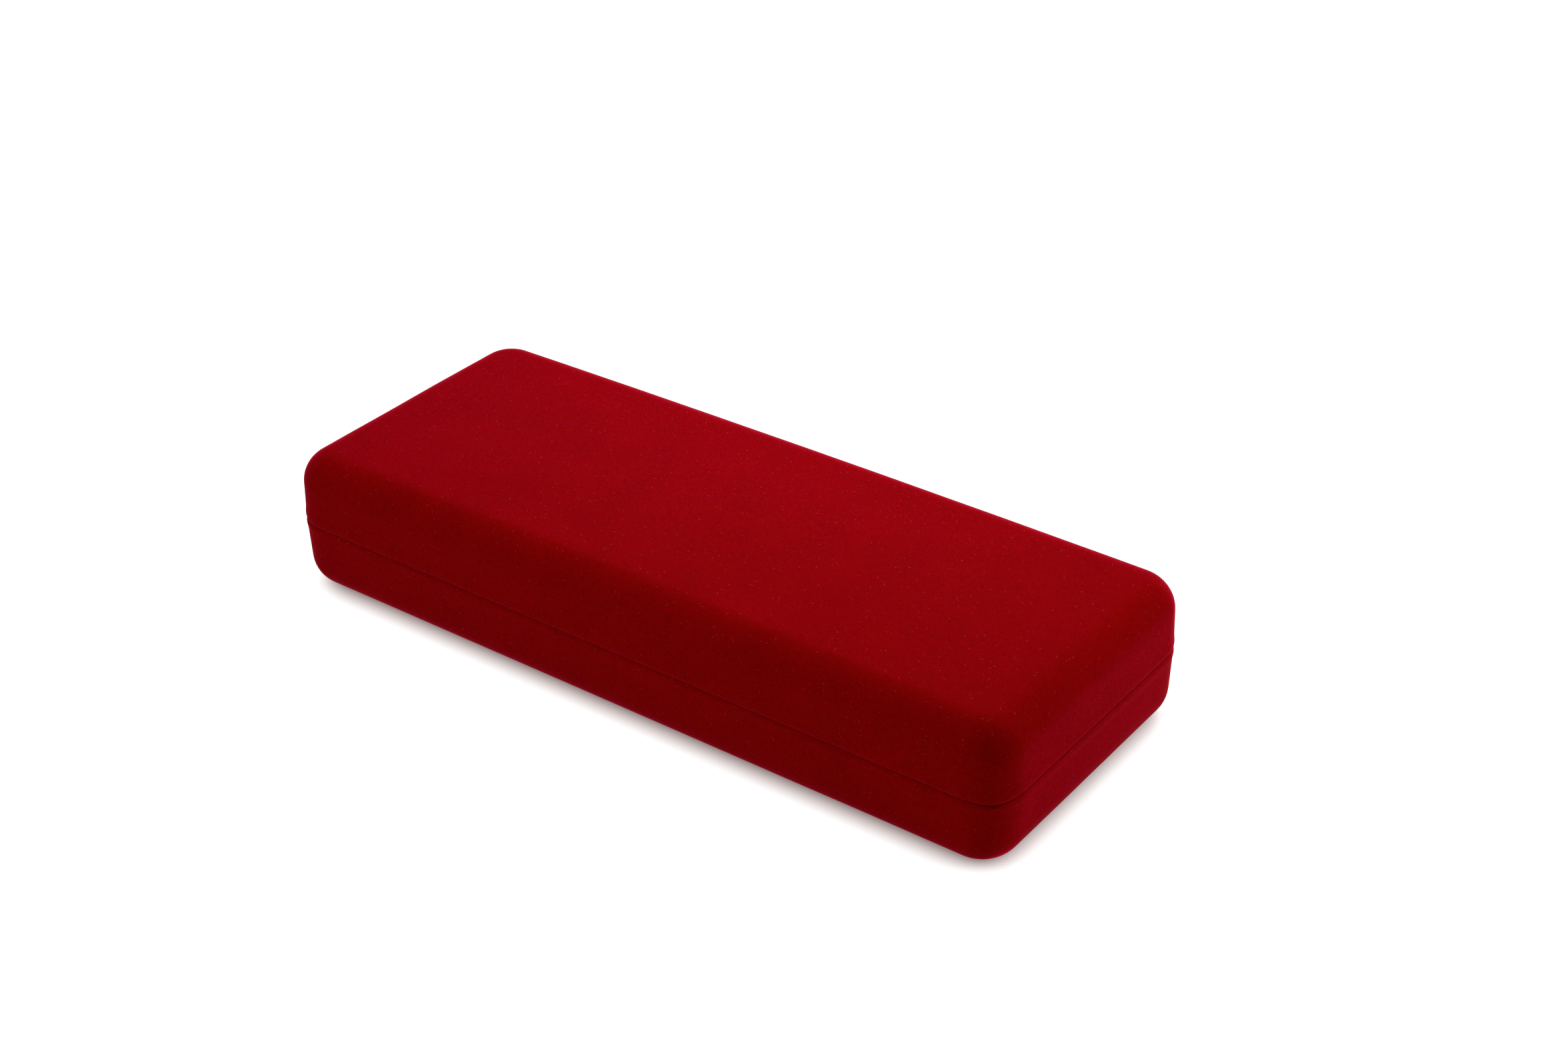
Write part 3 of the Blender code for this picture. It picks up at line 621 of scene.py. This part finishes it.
def pad_rings(offset, back):
    """The lining's face, edge and side at an offset under the satin, from the crown to its back."""
    radius = PAD_EDGE - offset
    shoulder = LINING_FACE + PAD_EDGE
    side = wall_profile(LID, LINING_LAYER + offset, shoulder, back)
    edge = [(side[0][0] + run, shoulder - rise) for run, rise in round_edge(radius)]
    face_inset, face_height = edge[-1]
    rings = crowned_rings(case_outline(face_inset), LID.rim + face_height, -PAD_CROWN, power=1)[::-1]
    rings += [level(case_outline(inset), LID.rim + height) for inset, height in edge[::-1] + side]
    return rings


def lid_foam_pad():
    """The foam under the satin, a little lower than it."""
    return loft("lid_foam_pad", pad_rings(SATIN + FOAM_ROOM, FOAM_BACK))


def swell(piece, held_above):
    """Lets a closed form swell as cloth under pressure, held where it lies above a height."""
    held = piece.vertex_groups.new(name="held")
    held.add([vert.index for vert in piece.data.vertices if vert.co.z > held_above], 1.0, "REPLACE")
    modifier = piece.modifiers.new("satin", "CLOTH")
    cloth = modifier.settings
    cloth.vertex_group_mass = "held"
    cloth.mass = SATIN_POINT_MASS
    cloth.use_pressure = True
    cloth.uniform_pressure_force = SATIN_PRESSURE
    cloth.shrink_min = SATIN_SHRINK
    cloth.bending_stiffness = SATIN_BENDING
    cloth.effector_weights.gravity = 0.0
    modifier.point_cache.frame_start = 1
    modifier.point_cache.frame_end = SATIN_FRAMES
    for frame in range(1, SATIN_FRAMES + 1):
        bpy.context.scene.frame_set(frame)
    moved = evaluated_mesh(piece)
    for old, new in zip(piece.data.vertices, moved.vertices):
        way = new.co - old.co
        reach = way.length
        if reach > 0:
            old.co += way * (SATIN_REACH * math.tanh(reach / SATIN_REACH) / reach)
    bpy.data.meshes.remove(moved)
    piece.modifiers.clear()
    bpy.context.scene.frame_set(1)


def gather(along, across):
    """How far one edge's gathers draw in at a place along it, mostly between 0 and 1."""
    lane = math.copysign(PUCKER_LANE, across)
    return 0.5 + noise.noise(Vector((along / PUCKER_SPACING, lane, PUCKER_LEVEL)))


def pucker(piece):
    """Draws the cloth of the face in along its edges, in small uneven gathers."""
    half_x = max(vert.co.x for vert in piece.data.vertices)
    half_y = max(vert.co.y for vert in piece.data.vertices)
    for vert in piece.data.vertices:
        if vert.normal.z < DOWNWARD:
            side = math.exp((abs(vert.co.y) - half_y) / PUCKER_REACH) * gather(vert.co.x, vert.co.y)
            end = math.exp((abs(vert.co.x) - half_x) / PUCKER_REACH) * gather(vert.co.y, vert.co.x)
            vert.co.z += PUCKER * max(side, end)


def open_back(piece, held_above):
    """Opens the middle of the cloth behind the board, and leaves the border that is folded in."""
    border = LINING_LAYER + LID_FILLET + SATIN_FOLD
    mesh = bmesh.new()
    mesh.from_mesh(piece.data)
    middle = []
    for face in mesh.faces:
        x, y, z = face.calc_center_median()
        if z > held_above and abs(x) < CASE_LENGTH / 2 - border and abs(y) < CASE_WIDTH / 2 - border:
            middle.append(face)
    bmesh.ops.delete(mesh, geom=middle, context="FACES")
    mesh.to_mesh(piece.data)
    mesh.free()


def lid_satin_pad():
    """Satin drawn over the pad as swollen cloth, gathered at its edges and folded in behind the board."""
    back = PAD_BACK - SATIN_ROOM
    pad = loft("lid_satin_pad", pad_rings(SATIN_ROOM, back), uneven=False)
    remesh = pad.modifiers.new("even cells", "REMESH")
    remesh.mode = "VOXEL"
    remesh.voxel_size = SATIN_CELL
    bake(pad)
    held_above = LID.rim + back - SATIN_HELD
    swell(pad, held_above)
    pucker(pad)
    open_back(pad, held_above)
    subdivision = pad.modifiers.new("finer", "SUBSURF")
    subdivision.levels = 1
    thickness = pad.modifiers.new("sheet", "SOLIDIFY")
    thickness.thickness = SATIN_SHEET
    thickness.offset = -1.0
    bake(pad)
    return pad


def node(tree, kind, inputs=None, **properties):
    """Adds a shader node. An input takes a value, or another node's output to link from."""
    made = tree.nodes.new("ShaderNode" + kind)
    for name, value in properties.items():
        setattr(made, name, value)
    for name, value in (inputs or {}).items():
        if isinstance(value, bpy.types.NodeSocket):
            tree.links.new(value, made.inputs[name])
        else:
            made.inputs[name].default_value = value
    return made


def new_material(name, values):
    """A Principled material with constants on its own sockets.

    Comes with its tree, its shader and the coordinates of the piece.
    """
    made = bpy.data.materials.new(name)
    made.use_nodes = True
    tree = made.node_tree
    shader = tree.nodes["Principled BSDF"]
    for socket, value in values.items():
        shader.inputs[socket].default_value = value
    where = node(tree, "TexCoord").outputs["Object"]
    return made, tree, shader, where


def noise_at(tree, where, size, detail=2.0):
    """Noise whose features have a size in the units of its coordinates."""
    return node(tree, "TexNoise", {"Vector": where, "Scale": 1 / size, "Detail": detail}).outputs["Fac"]


def remap(tree, value, low, high, to_low=0.0, to_high=1.0):
    """Maps one range of a value to another, and holds it within that."""
    inputs = {"Value": value, "From Min": low, "From Max": high, "To Min": to_low, "To Max": to_high}
    return node(tree, "MapRange", inputs).outputs["Result"]


# The range that a noise mostly keeps to
NOISE_LOW = 0.3
NOISE_HIGH = 0.7


def spread(tree, fac, to_low=0.0, to_high=1.0):
    """Maps a noise to a range that it then fills."""
    return remap(tree, fac, NOISE_LOW, NOISE_HIGH, to_low, to_high)


def add(tree, *values):
    """The sum of several values."""
    total = values[0]
    for value in values[1:]:
        total = node(tree, "Math", {0: total, 1: value}, operation="ADD").outputs[0]
    return total


def times(tree, first, second):
    """The product of two values."""
    return node(tree, "Math", {0: first, 1: second}, operation="MULTIPLY").outputs[0]


def tone(tree, *layers):
    """The sum of several noises, each given with its share."""
    return add(tree, *[spread(tree, fac, 0.0, share) for fac, share in layers])


def blend_colours(tree, share, first, second):
    """The first colour, with a share of the second laid over it."""
    made = node(tree, "Mix", data_type="RGBA")
    for socket, value in zip((made.inputs[0], made.inputs[6], made.inputs[7]), (share, first, second)):
        if isinstance(value, bpy.types.NodeSocket):
            tree.links.new(value, socket)
        else:
            socket.default_value = value
    return made.outputs[2]


def stretched(tree, where, scale, turn=0.0):
    """Coordinates scaled apart along each axis, and turned about the vertical."""
    inputs = {"Vector": where, "Scale": scale, "Rotation": (0.0, 0.0, turn)}
    return node(tree, "Mapping", inputs, vector_type="TEXTURE").outputs[0]


def roughen(tree, shader, height, strength, distance):
    """Gives the shader bumps of a height, as deep as distance."""
    bump = node(tree, "Bump", {"Height": height, "Strength": strength, "Distance": distance})
    tree.links.new(bump.outputs["Normal"], shader.inputs["Normal"])


# How far a rounded normal agrees with the true one, on a sharp edge and off it
EDGE_FACING = 0.8
FLAT_FACING = 0.98
EDGE_SAMPLES = 6


def worn_edges(tree, radius):
    """1 along sharp edges and 0 elsewhere: where a rounded normal leaves the true one."""
    rounded = node(tree, "Bevel", {"Radius": radius}, samples=EDGE_SAMPLES).outputs["Normal"]
    true = node(tree, "NewGeometry").outputs["Normal"]
    facing = node(tree, "VectorMath", {0: rounded, 1: true}, operation="DOT_PRODUCT").outputs["Value"]
    return remap(tree, facing, FLAT_FACING, EDGE_FACING)


def flecks(tree, where, size, turn, low, high):
    """Far-apart flecks of unlike strength, one to a cell of a size, drawn out one way.

    A fleck is full up to low from the middle of its cell, and gone at high.
    """
    placed = stretched(tree, where, size, turn)
    cells = node(tree, "TexVoronoi", {"Vector": placed, "Scale": 1.0})
    spot = remap(tree, cells.outputs["Distance"], high, low)
    return times(tree, spot, node(tree, "SeparateColor", {0: cells.outputs["Color"]}).outputs[0])


VELVET_DEEP = (0.133, 0.0003, 0.0001, 1.0)
VELVET_LIGHT = (0.253, 0.0006, 0.0003, 1.0)
# Painted sheen: paler, pinker colours laid into the base colour where the pile is seen from the side
VELVET_TIP_SHEEN = (0.3, 0.005, 0.028, 1.0)
VELVET_GRAZING_SHEEN = (0.18, 0.014, 0.018, 1.0)
VELVET_SHEEN = (0.92, 0.001, 0.036, 1.0)
PILE_SIZE = 0.2 * MM
TIP_SHEEN_SIZE = 0.35 * MM
TUFT_SIZE = 0.5 * MM
CLUMP_SIZE = 1.3 * MM
NAP_SIZE = 16.0 * MM
LINT = (0.4, 0.06, 0.07, 1.0)
LINT_SIZE = (2.6 * MM, 0.9 * MM, 0.9 * MM)
LINT_TURNS = (25 * DEG, 130 * DEG)


def velvet_material():
    """Flocked velvet: upright pile in tufts and clumps, a drifting nap and a little lint.

    Its sheen comes from the ends of the pile, so it is strongest where the pile is seen from the side.
    Layer Weight adds painted sheen to the shader's own sheen there, laid into the base colour:
    painted sheen specks on single fibres first, and then a pale painted sheen at grazing angles.
    """
    values = {
        "Roughness": 1.0,
        "IOR": 1.05,
        "Sheen Weight": 1.0,
        "Sheen Roughness": 0.35,
        "Sheen Tint": VELVET_SHEEN,
    }
    made, tree, shader, where = new_material("flocked velvet", values)
    pile = noise_at(tree, where, PILE_SIZE)
    tufts = noise_at(tree, where, TUFT_SIZE)
    clumps = noise_at(tree, where, CLUMP_SIZE, detail=3.0)
    nap = noise_at(tree, where, NAP_SIZE, detail=3.0)
    shade = tone(tree, (pile, 0.4), (tufts, 0.32), (clumps, 0.2), (nap, 0.2))
    colour = blend_colours(tree, shade, VELVET_DEEP, VELVET_LIGHT)
    turned = node(tree, "LayerWeight", {"Blend": 0.5}).outputs["Facing"]
    # Painted sheen in the base colour: specks at grazing angles, then a pale sheen nearer the outline
    tip_sheen_specks = remap(tree, noise_at(tree, where, TIP_SHEEN_SIZE), 0.5, 0.7)
    painted_tip_sheen = times(tree, remap(tree, turned, 0.35, 0.85), tip_sheen_specks)
    colour = blend_colours(tree, painted_tip_sheen, colour, VELVET_TIP_SHEEN)
    colour = blend_colours(tree, remap(tree, turned, 0.65, 0.92), colour, VELVET_GRAZING_SHEEN)
    lint = add(tree, *[flecks(tree, where, LINT_SIZE, turn, low=0.02, high=0.1) for turn in LINT_TURNS])
    colour = blend_colours(tree, lint, colour, LINT)
    tree.links.new(colour, shader.inputs["Base Color"])
    roughen(tree, shader, pile, strength=0.5, distance=0.1 * MM)
    return made


SATIN_DEEP = (0.74, 0.66, 0.51, 1.0)
SATIN_LIGHT = (0.92, 0.86, 0.72, 1.0)
SATIN_THREAD = (6.0 * MM, 0.14 * MM, 0.14 * MM)
SATIN_DRAPE = (34.0 * MM, 13.0 * MM, 13.0 * MM)
DRAPE_TURN = 12 * DEG
DRAPE_HEIGHT = 8.0
THREAD_HEIGHT = 0.25


def satin_material():
    """Ivory satin: long warp threads along the case with slight slubs, and a soft uneven drape."""
    values = {"Sheen Weight": 0.15, "Sheen Roughness": 0.3, "Sheen Tint": SATIN_LIGHT, "Anisotropic": 0.6}
    made, tree, shader, where = new_material("ivory satin", values)
    warp = stretched(tree, where, SATIN_THREAD)
    threads = noise_at(tree, warp, 1.0)
    slubs = noise_at(tree, warp, 3.0)
    drape = noise_at(tree, stretched(tree, where, SATIN_DRAPE, DRAPE_TURN), 1.0, detail=1.0)
    fine = spread(tree, threads, 0.0, 0.2)
    coarse = remap(tree, slubs, 0.35, 0.65, 0.0, 0.08)
    # Thread and slub tone, plus painted sheen and shade from the drape's noise: lighter on its crests,
    # darker in its hollows
    shade = add(tree, fine, coarse, spread(tree, drape, 0.1, 0.65))
    tree.links.new(blend_colours(tree, shade, SATIN_DEEP, SATIN_LIGHT), shader.inputs["Base Color"])
    tree.links.new(spread(tree, threads, 0.3, 0.4), shader.inputs["Roughness"])
    surface = add(tree, times(tree, drape, DRAPE_HEIGHT), remap(tree, threads, 0.0, 1.0, 0.0, THREAD_HEIGHT))
    roughen(tree, shader, surface, strength=0.4, distance=0.08 * MM)
    return made


FOAM_PIT_SHADE = (0.46, 0.43, 0.36, 1.0)
FOAM_WALL = (0.82, 0.8, 0.73, 1.0)
FOAM_CELL = 0.8 * MM


def foam_material():
    """Open-cell foam: small round cells of unlike size, with painted shade in their pits."""
    made, tree, shader, where = new_material("open-cell foam", {"Specular IOR Level": 0.2})
    cells = node(tree, "TexVoronoi", {"Vector": where, "Scale": 1 / FOAM_CELL}).outputs["Distance"]
    uneven = spread(tree, noise_at(tree, where, 7 * MM), 0.0, 0.3)
    # Painted shade: darker towards each cell's middle, where the bump sinks into a pit
    shade = add(tree, remap(tree, cells, 0.1, 0.6, 0.0, 0.7), uneven)
    tree.links.new(blend_colours(tree, shade, FOAM_PIT_SHADE, FOAM_WALL), shader.inputs["Base Color"])
    tree.links.new(remap(tree, cells, 0.0, 0.6, 0.98, 0.85), shader.inputs["Roughness"])
    roughen(tree, shader, cells, strength=0.8, distance=0.4 * MM)
    return made


PLASTIC_DEEP = (0.075, 0.004, 0.008, 1.0)
PLASTIC_LIGHT = (0.12, 0.01, 0.016, 1.0)
PLASTIC_WORN = (0.22, 0.045, 0.055, 1.0)
PLASTIC_GRAIN = 0.35 * MM
PLASTIC_FLOW = (14 * MM, 4 * MM, 4 * MM)
FLOW_TURN = 8 * DEG


def plastic_material():
    """Moulded wine-red plastic: a fine spark-eroded grain, faint flow marks and rubbed edges."""
    made, tree, shader, where = new_material("moulded plastic", {"Specular IOR Level": 0.2})
    grain = noise_at(tree, where, PLASTIC_GRAIN, detail=3.0)
    flow = noise_at(tree, stretched(tree, where, PLASTIC_FLOW, FLOW_TURN), 1.0, detail=3.0)
    colour = blend_colours(tree, tone(tree, (grain, 0.4), (flow, 0.6)), PLASTIC_DEEP, PLASTIC_LIGHT)
    rubbed = times(tree, worn_edges(tree, 0.25 * MM), remap(tree, flow, 0.4, 0.6, 0.3, 0.9))
    roughness = add(tree, spread(tree, grain, 0.5, 0.6), spread(tree, flow, 0.0, 0.12))
    tree.links.new(blend_colours(tree, rubbed, colour, PLASTIC_WORN), shader.inputs["Base Color"])
    tree.links.new(roughness, shader.inputs["Roughness"])
    roughen(tree, shader, grain, strength=0.25, distance=0.05 * MM)
    return made


CARD_DEEP = (0.3, 0.28, 0.24, 1.0)
CARD_LIGHT = (0.5, 0.48, 0.43, 1.0)
CARD_SPECK = (0.16, 0.14, 0.12, 1.0)
CARD_FIBRE = (1.2 * MM, 0.3 * MM, 0.3 * MM)
FIBRE_TURN = 20 * DEG
SPECK_SIZE = (1.5 * MM, 1.0 * MM, 1.0 * MM)
SPECK_TURN = 60 * DEG


def card_material():
    """Grey board: matted fibres, with dark specks of recycled pulp."""
    made, tree, shader, where = new_material("grey board", {"Specular IOR Level": 0.25})
    fibres = noise_at(tree, stretched(tree, where, CARD_FIBRE, FIBRE_TURN), 1.0, detail=4.0)
    mottle = noise_at(tree, where, 5 * MM, detail=3.0)
    colour = blend_colours(tree, tone(tree, (fibres, 0.6), (mottle, 0.4)), CARD_DEEP, CARD_LIGHT)
    specks = flecks(tree, where, SPECK_SIZE, SPECK_TURN, low=0.05, high=0.14)
    tree.links.new(blend_colours(tree, specks, colour, CARD_SPECK), shader.inputs["Base Color"])
    tree.links.new(spread(tree, fibres, 0.82, 0.96), shader.inputs["Roughness"])
    roughen(tree, shader, fibres, strength=0.4, distance=0.08 * MM)
    return made


Metal = namedtuple("Metal", "name deep light worn brush roughness")
BRASS = Metal(
    name="plated brass",
    deep=(0.5, 0.33, 0.12, 1.0),
    light=(0.74, 0.54, 0.24, 1.0),
    worn=(0.85, 0.66, 0.34, 1.0),
    brush=(3.0 * MM, 0.06 * MM, 0.06 * MM),
    roughness=0.24,
)
STEEL = Metal(
    name="spring steel",
    deep=(0.36, 0.37, 0.39, 1.0),
    light=(0.58, 0.59, 0.61, 1.0),
    worn=(0.75, 0.76, 0.78, 1.0),
    brush=(5.0 * MM, 0.05 * MM, 0.05 * MM),
    roughness=0.28,
)


def metal_material(metal):
    """Rolled or drawn metal: fine streaks along the case, clouded tarnish and bright worn edges."""
    made, tree, shader, where = new_material(metal.name, {"Metallic": 1.0, "Anisotropic": 0.4})
    streaks = noise_at(tree, stretched(tree, where, metal.brush), 1.0, detail=3.0)
    cloud = noise_at(tree, where, 3.5 * MM, detail=4.0)
    colour = blend_colours(tree, tone(tree, (streaks, 0.45), (cloud, 0.55)), metal.deep, metal.light)
    brushed = spread(tree, streaks, metal.roughness, metal.roughness + 0.1)
    roughness = add(tree, brushed, spread(tree, cloud, 0.12, 0.0))
    rubbed = worn_edges(tree, 0.12 * MM)
    tree.links.new(blend_colours(tree, rubbed, colour, metal.worn), shader.inputs["Base Color"])
    tree.links.new(roughness, shader.inputs["Roughness"])
    roughen(tree, shader, streaks, strength=0.15, distance=0.02 * MM)
    return made


def put_material(piece, material):
    """Makes a material the only one of a piece."""
    piece.data.materials.clear()
    piece.data.materials.append(material)


def dress(piece, body, material, slot, *nodes):
    """Finishes a new piece: its shading, its material, the body it rides on and what it stands for."""
    piece.data.shade_smooth()
    piece.data.set_sharp_from_angle(angle=SMOOTH_ANGLE)
    put_material(piece, material)
    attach(piece, body)
    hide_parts(*nodes)


def dress_case():
    """Makes the new pieces, and gives them and the frame's own pieces their materials."""
    velvet = velvet_material()
    foam = foam_material()
    satin = satin_material()
    plastic = plastic_material()
    card = card_material()
    brass = metal_material(BRASS)
    steel = metal_material(STEEL)
    dress(base_velvet_cover(), "base", velvet, "velvet", "base_velvet")
    dress(lid_velvet_cover(), "lid", velvet, "velvet", "lid_velvet")
    dress(insert_velvet_lining(), "base", velvet, "velvet", "insert_velvet")
    base_foam = base_foam_block()
    dress(base_foam, "base", foam, "foam", "base_foam")
    lid_foam = lid_foam_pad()
    dress(lid_foam, "lid", foam, "foam", "lid_pad_foam")
    pad = lid_satin_pad()
    dress(pad, "lid", satin, "satin", "lid_satin_cover")
    for name, piece in frame["nodes"].items():
        if name.endswith("leaf"):
            put_material(piece, brass)
        elif name.endswith(("pin", "spring")):
            put_material(piece, steel)
        elif name == "lid_pad_board":
            put_material(piece, card)
        elif name in ("base_shell", "lid_shell", "insert_former"):
            put_material(piece, plastic)


# The studio: its softboxes as places and powers, its background and its floor
SOFTBOXES = {
    "light over the back": ((0.0, 0.08, 0.16), 0.46),
    "light in front": ((0.0, -0.5, 0.1), 0.69),
    "light at the left": ((-0.4, -0.35, 0.2), 0.53),
    "light at the back corner": ((0.45, 0.3, 0.1), 1.6),
}
SOFTBOX_SIZE = 0.25
LIGHT_TARGET = Vector((0.0, 0.0, 0.02))
WHITE = (1.0, 1.0, 1.0, 1.0)
AMBIENT = 0.15
FLOOR_REACH = 2.0
FLOOR_COLOUR = (0.8, 0.8, 0.8, 1.0)
FLOOR_SHADE = (0.25, 0.22, 0.215, 1.0)
SHADOW_TINT = (1.0, 0.78, 0.74, 1.0)
CONTACT_REACH = 8.8 * MM
OPEN_SKY = 0.6


def softbox(name, place, power):
    """A square softbox that faces the case."""
    light = bpy.data.lights.new(name, "AREA")
    light.size = SOFTBOX_SIZE
    light.energy = power
    lamp = bpy.data.objects.new(name, light)
    bpy.context.scene.collection.objects.link(lamp)
    lamp.location = place
    lamp.rotation_euler = (LIGHT_TARGET - Vector(place)).to_track_quat("-Z", "Y").to_euler()


def seen_white(tree):
    """1 for rays from the eye, by reflection or through glass, which see the background white."""
    path = node(tree, "LightPath")
    share = path.outputs["Is Camera Ray"]
    for ray in ("Is Glossy Ray", "Is Transmission Ray"):
        share = node(tree, "Math", {0: share, 1: path.outputs[ray]}, operation="MAXIMUM").outputs[0]
    return share


def set_world():
    """A background that looks white, and lights the case only faintly."""
    world = bpy.data.worlds.new("studio")
    bpy.context.scene.world = world
    world.use_nodes = True
    tree = world.node_tree
    background = tree.nodes["Background"]
    background.inputs["Color"].default_value = WHITE
    strength = remap(tree, seen_white(tree), 0.0, 1.0, AMBIENT, 1.0)
    tree.links.new(strength, background.inputs["Strength"])


def make_floor():
    """A floor that looks white but for a warm shadow close to the case, and lights it as pale cloth."""
    mesh = bmesh.new()
    bmesh.ops.create_grid(mesh, x_segments=1, y_segments=1, size=FLOOR_REACH)
    floor = make_object("studio_floor", mesh)
    made = bpy.data.materials.new("pale floor")
    made.use_nodes = True
    tree = made.node_tree
    tree.nodes.clear()
    cloth = node(tree, "BsdfDiffuse", {"Color": FLOOR_COLOUR}).outputs[0]
    grazed = node(tree, "BsdfDiffuse", {"Color": FLOOR_SHADE}).outputs[0]
    open_share = node(tree, "AmbientOcclusion", {"Distance": CONTACT_REACH}).outputs["AO"]
    strength = remap(tree, open_share, 0.0, OPEN_SKY)
    warmth = blend_colours(tree, strength, SHADOW_TINT, WHITE)
    glow = node(tree, "Emission", {"Strength": strength, "Color": warmth}).outputs[0]
    lit = node(tree, "AddShader", {0: grazed, 1: glow}).outputs[0]
    mix = node(tree, "MixShader", {0: seen_white(tree), 1: cloth, 2: lit})
    output = node(tree, "OutputMaterial")
    tree.links.new(mix.outputs[0], output.inputs["Surface"])
    put_material(floor, made)


CAMERA_PLACE = Vector((0.275944, -0.351541, 0.300432))
CAMERA_YAW = -36.464 * DEG
CAMERA_PITCH = 31.282 * DEG
CAMERA_ROLL = -0.539 * DEG
FOCAL_LENGTH = 58.626
SENSOR_WIDTH = 36.0
NEAREST_SEEN = 0.01
FARTHEST_SEEN = 20.0


def set_camera():
    """The photograph's view of the case, with the picture's centre on the lens axis."""
    data = bpy.data.cameras.new("camera")
    data.sensor_width = SENSOR_WIDTH
    data.lens = FOCAL_LENGTH
    data.clip_start = NEAREST_SEEN
    data.clip_end = FARTHEST_SEEN
    camera = bpy.data.objects.new("camera", data)
    bpy.context.scene.collection.objects.link(camera)
    forward = Vector((math.sin(CAMERA_YAW) * math.cos(CAMERA_PITCH),
                      math.cos(CAMERA_YAW) * math.cos(CAMERA_PITCH), -math.sin(CAMERA_PITCH)))
    right = forward.cross(Vector((0.0, 0.0, 1.0))).normalized()
    up = right.cross(forward)
    turn = Matrix.Rotation(CAMERA_ROLL, 3, -forward)
    camera.matrix_world = Matrix((turn @ right, turn @ up, -forward)).transposed().to_4x4()
    camera.location = CAMERA_PLACE
    bpy.context.scene.camera = camera


set_camera()
set_world()
make_floor()
dress_case()
for name, (place, power) in SOFTBOXES.items():
    softbox(name, place, power)

bpy.context.scene.view_settings.view_transform = "Standard"
